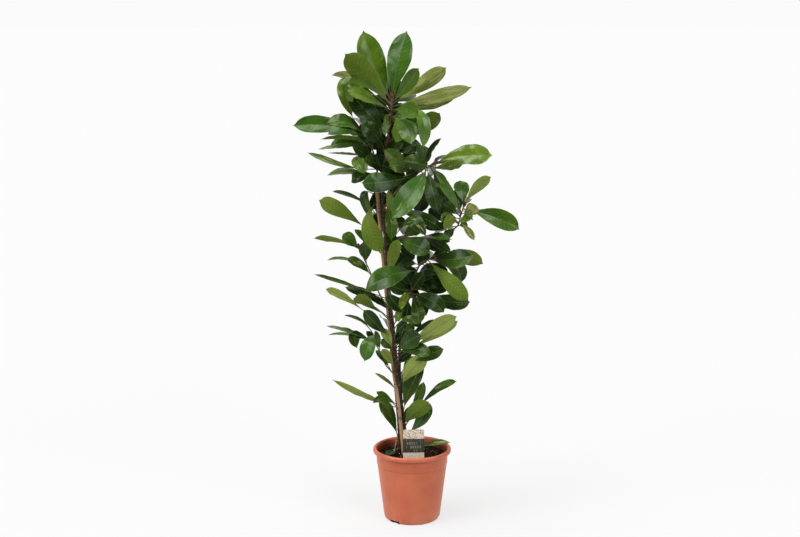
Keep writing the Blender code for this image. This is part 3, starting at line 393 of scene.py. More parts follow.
    Leaf("middle_right_42", "right", (-3, 76.5), (2.4, 79.8, -3), 3.8, 150, 0.3, 0.3),
    Leaf("middle_right_43", "right", (6, 77.2), (10, 75.9, -3), 2.2, 30, 0.4),
    Leaf("middle_right_44", "second", (4.4, 71.3), (9.4, 73.4, 0), 2.8, 20, 0.12),
    Leaf("middle_right_45", "right", (-5, 75.8), (0.8, 71.4, 3), 3.6, 20, 0.08),
    Leaf("middle_right_46", "second", (1.4, 69), (-3.8, 68.4, 3), 3, 20, 0.08),
    Leaf("middle_right_47", "second", (0, 64.4), (-0.6, 69.2, 2), 3.4, 10, 0.08),
    Leaf("middle_right_48", "second", (3, 70.3), (9.6, 67.4, -4), 2.6, 30, 0.2),
    Leaf("middle_right_49", "second", (-0.4, 61.6), (2, 66.4, 3), 5, 5, 0.06),
    Leaf("middle_right_50", "second", (-1, 60), (1, 63.4, 2), 3.4, 5, 0.06),
    Leaf("middle_right_51", "second", (-0.8, 60.6), (-1.4, 65.8, 3), 4, 5, 0.06),
    Leaf("middle_right_52", "second", (-0.6, 61), (6.4, 58.2, -2), 3.4, 20, 0.12),
    Leaf("middle_right_53", "second", (1, 67), (4.6, 62.6, -4), 3.6, 20, 0.05),
    Leaf("middle_right_54", "second", (-0.3, 62.6), (3.2, 67.8, -5), 3.4, 10, 0.06),
    Leaf("middle_right_55", "second", (0.2, 64), (-2.6, 68.6, -4), 3, 20, 0.06),
    # low, to the right
    Leaf("lower_right_01", "main", (-4.3, 45.2), (11.9, 55.9, -5), 4.3, 166, 0.95, 0.2, (3.4, 50.9, -4), 0.3, 0.3),
    Leaf("lower_right_02", "main", (-4.2, 44.4), (12.2, 54.6, -1), 3.2, 160, 0.9, 0.2, (4.4, 49.8, 0), 0.3, 0.3),
    Leaf("lower_right_03", "main", (-4.4, 47), (6.3, 55, 2), 2.6, 58, 0.15, via=(1, 51.4, 1), stalk=0.26),
    Leaf("lower_right_04", "main", (-4.3, 46), (2.4, 50.6, -9), 4.9, 14, 0.2, via=(-1, 49, -6), stalk=0.14),
    Leaf("lower_right_05", "main", (-4.3, 45.6), (4.8, 44.9, -10), 3.9, 28, 0.2, via=(0.4, 46.9, -7), stalk=0.14),
    Leaf("lower_right_06", "main", (-4.1, 43), (8.5, 46.9, -6), 4, 18, 0.25, via=(2.6, 44.9, -5), stalk=0.26),
    Leaf("lower_right_07", "main", (-3.4, 36.4), (4.4, 44.9, -4), 4.8, 160, 0.95, via=(-0.2, 41, -4), stalk=0.14),
    Leaf("lower_right_08", "main", (-2.6, 28.8), (3.2, 42.8, 0), 4.6, 26, 0.2, via=(-0.5, 36.2, -1)),
    Leaf("lower_right_09", "main", (-2.9, 31.4), (-1.6, 41.8, 1), 3, 30, 0.2),
    Leaf("lower_right_10", "main", (-2.2, 26.4), (3.1, 37.9, -3), 2.7, 14, 0.2, via=(1.4, 32.6, -3), stalk=0.22),
    Leaf("lower_right_11", "main", (-2, 25.4), (12, 38, -2), 2.5, 40, 0.3, 0.3, (5.2, 34.4, -2), 0.3),
    Leaf("lower_right_12", "main", (-2.1, 25.9), (4.6, 32.3, -8), 4.8, 162, 0.45, via=(0.4, 29.1, -6), stalk=0.12, shape=0.3),
    Leaf("lower_right_13", "main", (-1.7, 22.8), (4.8, 32, -4), 4.2, 26, 0.25, via=(2.4, 27.4, -4)),
    Leaf("lower_right_14", "second", (-3.2, 46), (1.2, 46.8, 12), 4.4, 50, 0.25),
    Leaf("lower_right_15", "second", (-2.8, 36), (-0.5, 40.5, 16), 4, 40, 0.25),
    Leaf("lower_right_16", "main", (-3.9, 42), (-0.4, 46.6, 2), 3, 20, 0.1),
    Leaf("lower_right_17", "second", (-3.2, 46), (1.4, 49.2, 4), 3.6, 20, 0.1),
    Leaf("lower_right_18", "main", (-4.4, 47), (-2, 52.4, 1), 3, 20, 0.1),
    Leaf("lower_right_19", "main", (-5, 53), (-0.6, 57.6, 11), 4.4, 40, 0.3),
    Leaf("lower_right_20", "second", (-3.2, 40), (2.2, 44.6, 10), 4, 40, 0.3),
    Leaf("lower_right_21", "main", (-3.2, 31), (1.4, 36.4, 9), 3.8, 40, 0.3),
    Leaf("lower_right_22", "main", (-2.2, 26.4), (-0.8, 31, 0), 2.2, 20, 0.3),
    Leaf("lower_right_23", "second", (-2, 56), (2.4, 53, 0), 2.6, 30, 0.1),
    # low, to the left
    Leaf("lower_left_01", "main", (-3, 30.6), (-21.5, 38.5, -7), 2.6, 128, 0.75, 0.1, (-11.6, 33.4, -6), 0.2),
    Leaf("lower_left_02", "main", (-3.1, 31.4), (-9.6, 35.2, -3), 2.6, 44, 0.4, 0.1, (-6.6, 33.2, -3), 0.18),
    Leaf("lower_left_03", "main", (-3, 29.4), (-10.6, 31.8, -10), 1.8, 38, 0.25, via=(-7, 33.2, -7)),
    Leaf("lower_left_04", "third", (-3.9, 21.8), (-9, 32.7, 0), 3.7, 20, 0.3, via=(-6, 28.6, 0.6), stalk=0.14),
    Leaf("lower_left_05", "main", (-3.5, 35.6), (-10, 40.3, -4), 2.4, 114, 0.5, via=(-6.8, 38, -3)),
    Leaf("lower_left_06", "lower_left", (-10.1, 50.6), (-12.7, 43.4, -8), 4.2, 16, 0.4, via=(-11.4, 49, -7), stalk=0.12, shape=0.3),
    Leaf("lower_left_07", "lower_left", (-9.6, 48.6), (-22.9, 53.2, -2), 2.8, 62, 0.35, 0.5, (-15.8, 51.2, -2), 0.14),
    Leaf("lower_left_08", "lower_left", (-9.8, 49.2), (-22.4, 50.7, 2), 2.6, 72, 0.4, 0.4, (-16.8, 50.7, 1), 0.14),
    Leaf("lower_left_09", "lower_left", (-9.5, 48.2), (-14.6, 47, -2), 3.2, 24, 0.2, via=(-14.8, 50.6, -2), stalk=0.14),
    Leaf("lower_left_10", "lower_left", (-10.3, 51), (-18.2, 56.1, -2), 2.2, 66, 0.25, 0.1, (-13.4, 54.4, -2)),
    Leaf("lower_left_11", "main", (-4.9, 50), (-12.8, 57.6, -9), 3.6, 12, 0.15, via=(-9.8, 53.9, -7), stalk=0.14),
    Leaf("lower_left_12", "main", (-4.6, 46.6), (-7.9, 52.7, -4), 2.6, 164, 0.95, stalk=0.14),
    Leaf("lower_left_13", "main", (-4.2, 41.4), (-8, 46.9, -4), 2.4, 164, 0.75, stalk=0.14),
    Leaf("lower_left_14", "lower_left", (-8.7, 46), (-9.9, 52, -3), 1.9, 30, 0.5, 0.2, stalk=0.18),
    Leaf("lower_left_15", "third", (-6, 50), (-8.4, 55.6, 17), 4.2, 60, 0.25),
    Leaf("lower_left_17", "main", (-4.4, 46), (-7, 50.4, 16), 4, 40, 0.1),
    Leaf("lower_left_18", "main", (-4.5, 46.4), (-8.2, 49.6, -1), 2.8, 20, 0.3),
    Leaf("lower_left_19", "lower_left", (-5.9, 41.1), (-9.8, 46.6, -1), 2, 40, 0.3),
    Leaf("lower_left_20", "main", (-4, 42.4), (-7.8, 45.6, -1), 2.6, 20, 0.5),
    Leaf("lower_left_21", "lower_left", (-9.3, 47.6), (-12.2, 51.8, -1), 2.4, 40, 0.15),
    # at the pot
    Leaf("pot_01", "main", (-1.5, 18.4), (10.5, 20.9, -4), 2.5, 50, 0.3, 0.45, (5.1, 20.5, -4.4), 0.3),
    Leaf("pot_02", "third", (-3.95, 19.4), (-7.4, 17.5, -1.5), 2.2, 50, 0.05, via=(-5.4, 18.2, -1), stalk=0.14),
)


class Wire:
    """A node's output that Python's operators work on: each adds its Math or Vector Math node."""

    def __init__(self, tree, socket):
        self.tree, self.socket = tree, socket

    def output(self, name):
        return Wire(self.tree, enabled_socket(self.socket.node.outputs, name))

    def math(self, operation, *others):
        return self.tree.add("ShaderNodeMath", dict(enumerate((self, *others))), operation=operation)

    def vector_math(self, operation, *others):
        terms = dict(enumerate((self, *others)))
        return self.tree.add("ShaderNodeVectorMath", terms, operation=operation)

    def combine(self, operation, other, flipped=False):
        pair = (other, self) if flipped else (self, other)
        kind = "ShaderNodeVectorMath" if any(map(is_vector, pair)) else "ShaderNodeMath"
        return self.tree.add(kind, dict(enumerate(pair)), operation=operation)

    def __add__(self, other):
        return self.combine("ADD", other)

    def __radd__(self, other):
        return self.combine("ADD", other, flipped=True)

    def __sub__(self, other):
        return self.combine("SUBTRACT", other)

    def __rsub__(self, other):
        return self.combine("SUBTRACT", other, flipped=True)

    def __mul__(self, other):
        if is_vector(self) and not is_vector(other):
            return self.tree.add("ShaderNodeVectorMath", {0: self, "Scale": other}, operation="SCALE")
        if is_vector(other) and not is_vector(self):
            return other * self
        return self.combine("MULTIPLY", other)

    __rmul__ = __mul__

    def __truediv__(self, other):
        return self.combine("DIVIDE", other)

    def __pow__(self, power):
        return self.math("POWER", power)

    def clamp(self):
        return self.math("MAXIMUM", 0).math("MINIMUM", 1)

    def normalized(self):
        return self.vector_math("NORMALIZE")

    def cross(self, other):
        return self.vector_math("CROSS_PRODUCT", other)

    def smooth(self, low, high):
        """0 below low, 1 above high, with a smooth rise between; low may be the larger of the two."""
        reach = {"Value": self, "From Min": low, "From Max": high}
        return self.tree.add("ShaderNodeMapRange", reach, interpolation_type="SMOOTHSTEP")


def is_vector(term):
    if isinstance(term, Wire):
        return term.socket.type == "VECTOR"
    return isinstance(term, (tuple, Vector))


def enabled_socket(sockets, key):
    if isinstance(key, int):
        return sockets[key]
    return next(socket for socket in sockets if socket.name == key and socket.enabled)


class Tree:
    """A node tree being written: add() makes each node and hands back its first output as a Wire."""

    def __init__(self, node_tree):
        self.node_tree = node_tree

    @classmethod
    def of_geometry(cls, name, inputs):
        """An empty geometry tree with these named inputs, each a number or a vector by its default."""
        made = bpy.data.node_groups.new(name, "GeometryNodeTree")
        made.interface.new_socket("Geometry", in_out="OUTPUT", socket_type="NodeSocketGeometry")
        made.interface.new_socket("Geometry", in_out="INPUT", socket_type="NodeSocketGeometry")
        for label, default in inputs.items():
            kind = "NodeSocketVector" if is_vector(default) else "NodeSocketFloat"
            made.interface.new_socket(label, in_out="INPUT", socket_type=kind).default_value = default
        return cls(made)

    @classmethod
    def of_material(cls, name):
        material = bpy.data.materials.new(name)
        material.use_nodes = True
        material.node_tree.nodes.clear()
        return material, cls(material.node_tree)

    def add(self, kind, values=None, stops=None, curve=None, **settings):
        node = self.node_tree.nodes.new(kind)
        for name, setting in settings.items():
            setattr(node, name, setting)
        if stops:
            ramp = node.color_ramp
            while len(ramp.elements) < len(stops):
                ramp.elements.new(0.5)
            for element, (place, colour) in zip(ramp.elements, stops, strict=True):
                element.position = place
                element.color = (*colour, 1)
        if curve:
            points = node.mapping.curves[0].points
            while len(points) < len(curve):
                points.new(0.5, 0.5)
            for point, place in zip(points, curve, strict=True):
                point.location = place
            node.mapping.update()
        for key, value in (values or {}).items():
            self.feed(enabled_socket(node.inputs, key), value)
        first = next((socket for socket in node.outputs if socket.enabled), None)
        return Wire(self, first) if first else node

    def feed(self, socket, value):
        if isinstance(value, Wire):
            self.node_tree.links.new(value.socket, socket)
        elif socket.type == "RGBA" and len(value) == 3:
            socket.default_value = (*value, 1)
        else:
            socket.default_value = value

    def group_inputs(self):
        node = self.node_tree.nodes.new("NodeGroupInput")
        return {socket.name: Wire(self, socket) for socket in node.outputs if socket.name}

    def finish_geometry(self, geometry, material):
        """The end of every geometry tree: real mesh, smooth but for creases, with its material."""
        real = self.add("GeometryNodeRealizeInstances", {"Geometry": geometry})
        smooth = self.add("GeometryNodeSetShadeSmooth", {"Geometry": real})
        finished = self.add("GeometryNodeSetMaterial", {"Geometry": smooth, "Material": material})
        self.add("NodeGroupOutput", {"Geometry": finished})
        return self.node_tree

    def tube(self, curve, sides, radius):
        """A capped round skin over a curve."""
        ring = self.add("GeometryNodeCurvePrimitiveCircle", {"Resolution": sides, "Radius": 1.0})
        values = {"Curve": curve, "Profile Curve": ring, "Scale": radius, "Fill Caps": True}
        return self.add("GeometryNodeCurveToMesh", values)

    def attribute(self, name):
        """A number stored on the mesh, in a geometry tree or a material."""
        if self.node_tree.bl_idname == "GeometryNodeTree":
            return self.add("GeometryNodeInputNamedAttribute", {"Name": name}, data_type="FLOAT")
        return self.add("ShaderNodeAttribute", attribute_name=name).output("Fac")

    def store(self, geometry, name, value, domain="POINT"):
        values = {"Geometry": geometry, "Name": name, "Value": value}
        return self.add("GeometryNodeStoreNamedAttribute", values, data_type="FLOAT", domain=domain)

    def noise(self, vector, scale, detail=2.0, roughness=0.5):
        values = {"Vector": vector, "Scale": scale, "Detail": detail, "Roughness": roughness}
        return self.add("ShaderNodeTexNoise", values)

    def object_place(self):
        return self.add("ShaderNodeTexCoord").output("Object")

    def mix(self, share, below, above):
        """A colour between two colours."""
        values = {"Factor": share, "A": below, "B": above}
        return self.add("ShaderNodeMix", values, data_type="RGBA")

    def bump(self, height, distance, strength=1.0):
        return self.add("ShaderNodeBump", {"Height": height, "Distance": distance, "Strength": strength})

    def surface(self, values):
        """The Principled surface and the material's output."""
        shader = self.add("ShaderNodeBsdfPrincipled", values)
        self.add("ShaderNodeOutputMaterial", {"Surface": shader})


def seen(x, z, depth=0.0):
    """The point at a depth behind the pot's axis that shows at x, z, all in centimetres."""
    on_plane = Vector((x * CM, 0, z * CM))
    reach = (depth * CM - VIEWPOINT.y) / -VIEWPOINT.y
    return VIEWPOINT + (on_plane - VIEWPOINT) * reach


def smooth_line(points, pieces):
    """Points along a smooth curve through the given ones, pieces to each span."""
    padded = [2 * points[0] - points[1], *points, 2 * points[-1] - points[-2]]
    line = []
    for before, start, end, after in zip(padded, padded[1:], padded[2:], padded[3:], strict=False):
        for step in range(pieces):
            t = step / pieces
            line.append(
                0.5 * (
                    2 * start + (end - before) * t
                    + (2 * before - 5 * start + 4 * end - after) * t**2
                    + (3 * start - before - 3 * end + after) * t**3
                )
            )
    return [*line, points[-1]]


def stem_stations(name):
    """Close stations up a stem: the centre, the radius, and the way the stem runs there."""
    line = smooth_line([seen(*point) for point in STEMS[name].line], 12)
    foot, top = STEMS[name].radii
    ways = [(after - before).normalized() for before, after in zip(line, line[1:], strict=False)]
    ways.append(ways[-1])
    count = len(line) - 1
    return [(point, CM * (foot + (top - foot) * (i / count) ** 1.6), ways[i]) for i, point in enumerate(line)]


def seat_on(stations, root, aim):
    """Where a leaf springs from a stem, just under its bark; root is where that is seen, aim where it heads."""

    def offset(station):
        share = -VIEWPOINT.y / (station[0].y - VIEWPOINT.y)
        on_plane = VIEWPOINT + (station[0] - VIEWPOINT) * share
        return (on_plane.x - root[0] * CM) ** 2 + (on_plane.z - root[1] * CM) ** 2

    centre, radius, along = min(stations, key=offset)
    out = aim - centre
    out = (out - out.project(along)).normalized()
    return centre + out * radius * 0.7


def leaf_inputs(start, via, tip, turn):
    """The midrib's three control points, and the way the upper face looks."""
    chord = (tip - start).normalized()
    to_viewer = (VIEWPOINT - (start + tip) / 2).normalized()
    facing = (to_viewer - to_viewer.project(chord)).normalized()
    side = chord.cross(facing)
    if side.z + 0.3 * side.x < 0:
        side.negate()
    upper = facing * math.cos(math.radians(turn)) + side * math.sin(math.radians(turn))
    if via is None:
        via = (start + tip) / 2 + upper * DEFAULT_ARCH * (tip - start).length
    return {"Start": start, "Bend": 2 * via - 0.5 * (start + tip), "Tip": tip, "Upper": upper}


def leaf_tree(name, material, across_count, along_count):
    """A leaf: a two-faced blade with a margin, on a stalk that runs on as the midrib under it."""
    tree = Tree.of_geometry(
        name,
        {
            "Start": (0, 0, 0), "Bend": (0, 0, 0.05), "Tip": (0, 0, 0.1), "Upper": (0, -1, 0), "Width": 0.05,
            "Stalk": 0.16, "Fold": LEAF_FOLD, "Curl": 0.1, "Ripple": 0.2, "Twist": 0.0, "Pointed": 0.5,
            "Light": 0.5, "Patch": 0.0, "Seed": 0.0,
        },
    )
    given = tree.group_inputs()
    start, bend, tip = given["Start"], given["Bend"], given["Tip"]

    def midrib(t):
        """The point at a share of the length, with the way across the blade and the way out of its face."""
        rest = 1 - t
        point = start * (rest * rest) + bend * (t * rest * 2) + tip * (t * t)
        along = ((bend - start) * rest + (tip - bend) * t).normalized()
        flat_side = along.cross(given["Upper"]).normalized()
        flat_face = flat_side.cross(along)
        angle = given["Twist"] * (t - 0.5)
        cosine, sine = angle.math("COSINE"), angle.math("SINE")
        return point, flat_side * cosine + flat_face * sine, flat_face * cosine - flat_side * sine

    grid = tree.add(
        "GeometryNodeMeshGrid",
        {"Size X": 2, "Size Y": 1, "Vertices X": across_count, "Vertices Y": along_count},
    )
    place = tree.add("ShaderNodeSeparateXYZ", {0: tree.add("GeometryNodeInputPosition")})
    flat = tree.store(grid, "across", place.output("X"))
    flat = tree.store(flat, "along", place.output("Y") + 0.5)
    flat = tree.add(
        "GeometryNodeStoreNamedAttribute",
        {"Geometry": flat, "Name": "UVMap", "Value": grid.output("UV Map")},
        data_type="FLOAT2", domain="CORNER",
    )

    across, along = tree.attribute("across"), tree.attribute("along")
    point, side, face = midrib(given["Stalk"] + (1 - given["Stalk"]) * along)
    blunt = tree.add("ShaderNodeFloatCurve", {"Value": along}, curve=ROUND_BLADE)
    pointed = tree.add("ShaderNodeFloatCurve", {"Value": along}, curve=POINTED_BLADE)
    half = given["Width"] * 0.5 * (blunt + (pointed - blunt) * given["Pointed"])
    waviness = tree.add("ShaderNodeCombineXYZ", {"X": along * 5, "Y": across * 0.9, "Z": given["Seed"]})
    wave = tree.noise(waviness, 1.0, 1.0) - 0.5
    square = across * across
    fold = given["Fold"] * ((square + 0.01) ** 0.5 - 0.1)
    lift = half * (fold - given["Curl"] * square + wave * given["Ripple"] * (square + 0.25) * 2)
    upper_place = point + side * (across * half) + face * lift
    body = (1 - square * square * square) * (along * 30).math("MINIMUM", 1) * ((1 - along) * 30).math("MINIMUM", 1)
    lower_place = upper_place - face * (body * BLADE_THICKNESS)

    top = tree.add("GeometryNodeSetPosition", {"Geometry": flat, "Position": upper_place})
    below = tree.add("GeometryNodeSetPosition", {"Geometry": flat, "Position": lower_place})
    below = tree.add("GeometryNodeFlipFaces", {"Mesh": below})
    below = tree.store(below, "under", 1.0, "FACE")
    blade = tree.add("GeometryNodeJoinGeometry")
    for sheet in (below, top):
        tree.node_tree.links.new(sheet.socket, blade.socket.node.inputs[0])
    blade = tree.add("GeometryNodeMergeByDistance", {"Geometry": blade, "Distance": 0.00002})

    line = tree.add("GeometryNodeMeshLine", {"Count": STALK_STEPS})
    t = tree.add("GeometryNodeInputIndex") * (1 / (STALK_STEPS - 1))
    t = t * 0.985
    point, side, face = midrib(t)
    in_blade = t.smooth(given["Stalk"], given["Stalk"] + 0.1)
    swell = 1 + 0.35 * t.smooth(0.05, 0)
    radius = STALK_RADIUS * swell * (1 - 0.3 * in_blade) * (1 - t * 0.82)
    line = tree.add("GeometryNodeSetPosition", {"Geometry": line, "Position": point - face * (in_blade * radius)})
    rod = tree.add("GeometryNodeMeshToCurve", {"Mesh": line})
    rod = tree.store(rod, "thickness", radius)
    rod = tree.store(rod, "along", t)
    stalk = tree.tube(rod, STALK_SIDES, tree.attribute("thickness"))
    stalk = tree.store(stalk, "stalk", 1.0)

    whole = tree.add("GeometryNodeJoinGeometry")
    for part in (stalk, blade):
        tree.node_tree.links.new(part.socket, whole.socket.node.inputs[0])
    whole = tree.store(whole, "half_width", half)
    for name in ("Light", "Patch", "Seed"):
        whole = tree.store(whole, name.lower(), given[name])
    smooth = tree.add("GeometryNodeSetShadeSmooth", {"Geometry": whole})
    margin = tree.add("GeometryNodeInputMeshEdgeAngle").math("GREATER_THAN", 1.0)
    creased = tree.add(
        "GeometryNodeSetShadeSmooth", {"Geometry": smooth, "Selection": margin, "Shade Smooth": False},
        domain="EDGE",
    )
    real = tree.add("GeometryNodeRealizeInstances", {"Geometry": creased})
    finished = tree.add("GeometryNodeSetMaterial", {"Geometry": real, "Material": material})
    tree.add("NodeGroupOutput", {"Geometry": finished})
    return tree.node_tree


def leaf_material():
    """Waxy green above with a pale midrib and veins, dull olive below, bleached in patches; each leaf's light value
    paints shade or sunlight into it.
    """
    material, tree = Tree.of_material("fig_leaf")
    across, along = tree.attribute("across"), tree.attribute("along")
    light, patch, seed = tree.attribute("light"), tree.attribute("patch"), tree.attribute("seed")
    under, stalk, half = tree.attribute("under"), tree.attribute("stalk"), tree.attribute("half_width")
    place = tree.object_place()
    spread = across.math("ABSOLUTE")
    off_rib = spread * half
    wander = tree.noise(place, 60, 2) - 0.5

    rib = off_rib.smooth(0.0011, 0.0004)
    phase = (along * (0.14 / VEIN_SPACING) - spread * 1.5 + wander * 0.5).math("FRACT") - 0.5
    vein = phase.math("ABSOLUTE").smooth(0.10, 0.02) * spread.smooth(0.98, 0.75)
    mesh = tree.add("ShaderNodeTexVoronoi", {"Vector": place, "Scale": 420.0}, feature="DISTANCE_TO_EDGE")
    net = mesh.smooth(0.12, 0.02)
    mottle = tree.noise(place, 38, 3)
    broad = tree.noise(place, 14, 2)

    # Painted light and shade: each leaf's light value darkens shaded leaves towards near black and makes sunlit ones
    # pale, on both faces
    lit = (light + (broad - 0.5) * 0.7).clamp()
    hue = (seed * 7.3).math("FRACT")
    deep = tree.mix(hue, (0.050, 0.136, 0.016), (0.086, 0.150, 0.004))
    pale = tree.mix(hue, (0.145, 0.262, 0.026), (0.215, 0.290, 0.010))
    shaded = tree.mix(lit.smooth(0, 0.5), (0.009, 0.026, 0.004), deep)
    upper = tree.mix(lit.smooth(0.45, 1), shaded, pale)
    upper = tree.mix((mottle - 0.4).clamp() * 1.3, upper, (0.014, 0.055, 0.003))
    upper = tree.mix(vein * 0.24, upper, (0.14, 0.24, 0.03))
    upper = tree.mix(rib * 0.45, upper, (0.20, 0.29, 0.04))
    lower = tree.mix(lit.smooth(0, 0.6), (0.048, 0.100, 0.010), (0.135, 0.205, 0.022))
    lower = tree.mix(lit.smooth(0.5, 1), lower, (0.350, 0.430, 0.120))
    lower = tree.mix(broad.smooth(0.35, 0.7) * 0.2, lower, (0.13, 0.14, 0.015))
    lower = tree.mix(vein * 0.4, lower, tree.mix(lit, (0.16, 0.22, 0.03), (0.40, 0.46, 0.15)))
    lower = tree.mix(net * 0.1, lower, (0.10, 0.14, 0.02))
    lower = tree.mix(rib * 0.5, lower, (0.16, 0.13, 0.04))
    colour = tree.mix(under, upper, lower)
    streak = tree.noise(tree.add("ShaderNodeCombineXYZ", {"X": along * 3.2, "Y": across * 2.6, "Z": seed}), 1.0, 4, 0.6)
    bleach = (streak + mottle * 0.15).smooth(0.78 - patch * 0.3, 0.9 - patch * 0.3) * (patch * 5).clamp()
    colour = tree.mix(bleach * 0.75, colour, (0.48, 0.44, 0.21))
    colour = tree.mix(spread.smooth(0.93, 0.99) * 0.5, colour, (0.25, 0.30, 0.07))
    tip_burn = along.smooth(0.975, 0.995) * (1 - stalk)
    colour = tree.mix(tip_burn * 0.7, colour, (0.11, 0.06, 0.025))
    stalk_green = tree.mix(mottle, (0.12, 0.15, 0.035), (0.25, 0.25, 0.10))
    colour = tree.mix(stalk * along.smooth(0.2, 0.0), tree.mix(stalk, colour, stalk_green), (0.10, 0.065, 0.03))

    dull = tree.noise(place, 90, 2)
    roughness = 0.20 + dull * 0.2 + under * 0.28 + stalk * 0.2
    relief = vein * -0.35 - rib * (1 - under) * 0.9 + net * under * 0.25 + mottle * 0.7 + vein * under * 0.9
    tree.surface({
        "Base Color": colour,
        "Roughness": roughness,
        "Normal": tree.bump(relief, 0.0007, 0.9),
        "Specular IOR Level": 0.16,
        "Coat Weight": (1 - under) * (0.08 + lit).clamp(),
        "Coat Roughness": 0.26,
    })
    return material


def stem_tree(material):
    """A barked stem over a curve whose points carry radii: ring scars, bumps and leaf scars."""
    tree = Tree.of_geometry("barked_stem", {"Step": 0.0025, "Scar": 0.0005, "Rough": 0.0005})
    given = tree.group_inputs()
    run = tree.add("GeometryNodeSplineParameter").output("Length")
    resampled = tree.add(
        "GeometryNodeResampleCurve", {"Curve": given["Geometry"], "Length": given["Step"]}, mode="LENGTH"
    )
    marked = tree.store(resampled, "run", run)
    marked = tree.store(marked, "girth", tree.add("GeometryNodeInputRadius"))
    skin = tree.tube(marked, STEM_SIDES, tree.attribute("girth"))
    place = tree.add("GeometryNodeInputPosition")
    length = tree.attribute("run")
    jitter = tree.noise(place, 40, 1) * 0.5
    ring_phase = (length * 75 + jitter).math("FRACT") - 0.5
    scar = ring_phase.math("ABSOLUTE").smooth(0.16, 0.0)
    lumps = tree.noise(place, 260, 3, 0.6) - 0.5
    knots = tree.noise(place, 75, 2, 0.5).smooth(0.55, 0.75)
    slim = (tree.attribute("girth") * 230).math("MINIMUM", 1.2)
    height = (scar * given["Scar"] + lumps * given["Rough"] * 1.6 + knots * given["Rough"] * 1.6) * slim
    normal = tree.add("GeometryNodeInputNormal")
    barked = tree.add("GeometryNodeSetPosition", {"Geometry": skin, "Offset": normal * height})
    barked = tree.store(barked, "scar", scar)
    return tree.finish_geometry(barked, material)


def bark_material():
    """Rough dark brown bark with corky warts; shoot ends are thinner, smoother and greener."""
    material, tree = Tree.of_material("fig_bark")
    place = tree.object_place()
    scar, girth = tree.attribute("scar"), tree.attribute("girth")
    grain = tree.noise(place, 320, 5, 0.65)
    warts = tree.add("ShaderNodeTexVoronoi", {"Vector": place, "Scale": 210.0}).smooth(0.32, 0.12)
    stain = tree.noise(place, 45, 2)
    flakes = tree.noise(place, 150, 3, 0.6)
    old = tree.mix(grain.smooth(0.3, 0.75), (0.018, 0.010, 0.006), (0.090, 0.052, 0.030))
    old = tree.mix(stain.smooth(0.5, 0.8) * 0.5, old, (0.15, 0.10, 0.06))
    old = tree.mix(flakes.smooth(0.52, 0.66) * 0.75, old, (0.27, 0.18, 0.105))
    old = tree.mix(warts * 0.5, old, (0.34, 0.24, 0.15))
    old = tree.mix(scar * 0.6, old, (0.018, 0.010, 0.007))
    young = tree.mix(grain, (0.13, 0.105, 0.045), (0.27, 0.20, 0.11))
    young = tree.mix(scar * 0.6, young, (0.09, 0.045, 0.022))
    colour = tree.mix(girth.smooth(0.0017, 0.0036), young, old)
    tree.surface({
        "Base Color": colour,
        "Roughness": 0.72 + grain * 0.2,
        "Normal": tree.bump(grain + warts * 0.6, 0.0006, 0.9),
    })
    return material


def cane_tree(material):
    """A bamboo cane over a curve: swollen ringed joints and a faintly lumpy skin."""
    tree = Tree.of_geometry("bamboo_cane", {"Step": 0.0025, "Radius": 0.0047, "Joint": 0.093, "First": 0.064})
    given = tree.group_inputs()
    run = tree.add("GeometryNodeSplineParameter").output("Length")
    resampled = tree.add(
        "GeometryNodeResampleCurve", {"Curve": given["Geometry"], "Length": given["Step"]}, mode="LENGTH"
    )
    marked = tree.store(resampled, "run", run)
    phase = ((run - given["First"]) / given["Joint"] + 0.5).math("FRACT") - 0.5
    from_joint = phase.math("ABSOLUTE") * given["Joint"]
    marked = tree.store(marked, "joint", from_joint.smooth(0.0022, 0.0002))
    crease = (phase * given["Joint"] - 0.0022).math("ABSOLUTE").smooth(0.001, 0)
    ridge = from_joint.smooth(0.006, 0.001) * 0.10 - crease * 0.07
    radius = given["Radius"] * (1 + ridge)
    marked = tree.store(marked, "girth", radius)
    skin = tree.tube(marked, ROD_SIDES, tree.attribute("girth"))
    place = tree.add("GeometryNodeInputPosition")
    lumps = tree.noise(place, 90, 2) - 0.5
    normal = tree.add("GeometryNodeInputNormal")
    skin = tree.add("GeometryNodeSetPosition", {"Geometry": skin, "Offset": normal * (lumps * 0.0004)})
    return tree.finish_geometry(skin, material)


def cane_material(name, pale, dark):
    """Dry straw-coloured wood with long fibres, darker at its joints and weathered in streaks."""
    material, tree = Tree.of_material(name)
    place = tree.object_place()
    stretch = tree.add("ShaderNodeMapping", {"Vector": place, "Scale": (900.0, 900.0, 26.0)})
    fibre = tree.noise(stretch, 1.0, 3, 0.6)
    stain = tree.noise(place, 42, 3)
    colour = tree.mix(fibre.smooth(0.25, 0.8), dark, pale)
    colour = tree.mix(stain.smooth(0.52, 0.75) * 0.6, colour, (0.16, 0.10, 0.055))
    colour = tree.mix(tree.attribute("joint") * 0.85, colour, (0.06, 0.035, 0.02))
    tree.surface({
        "Base Color": colour,
        "Roughness": 0.42 + fibre * 0.2,
        "Normal": tree.bump(fibre, 0.0003, 0.6),
    })
    return material


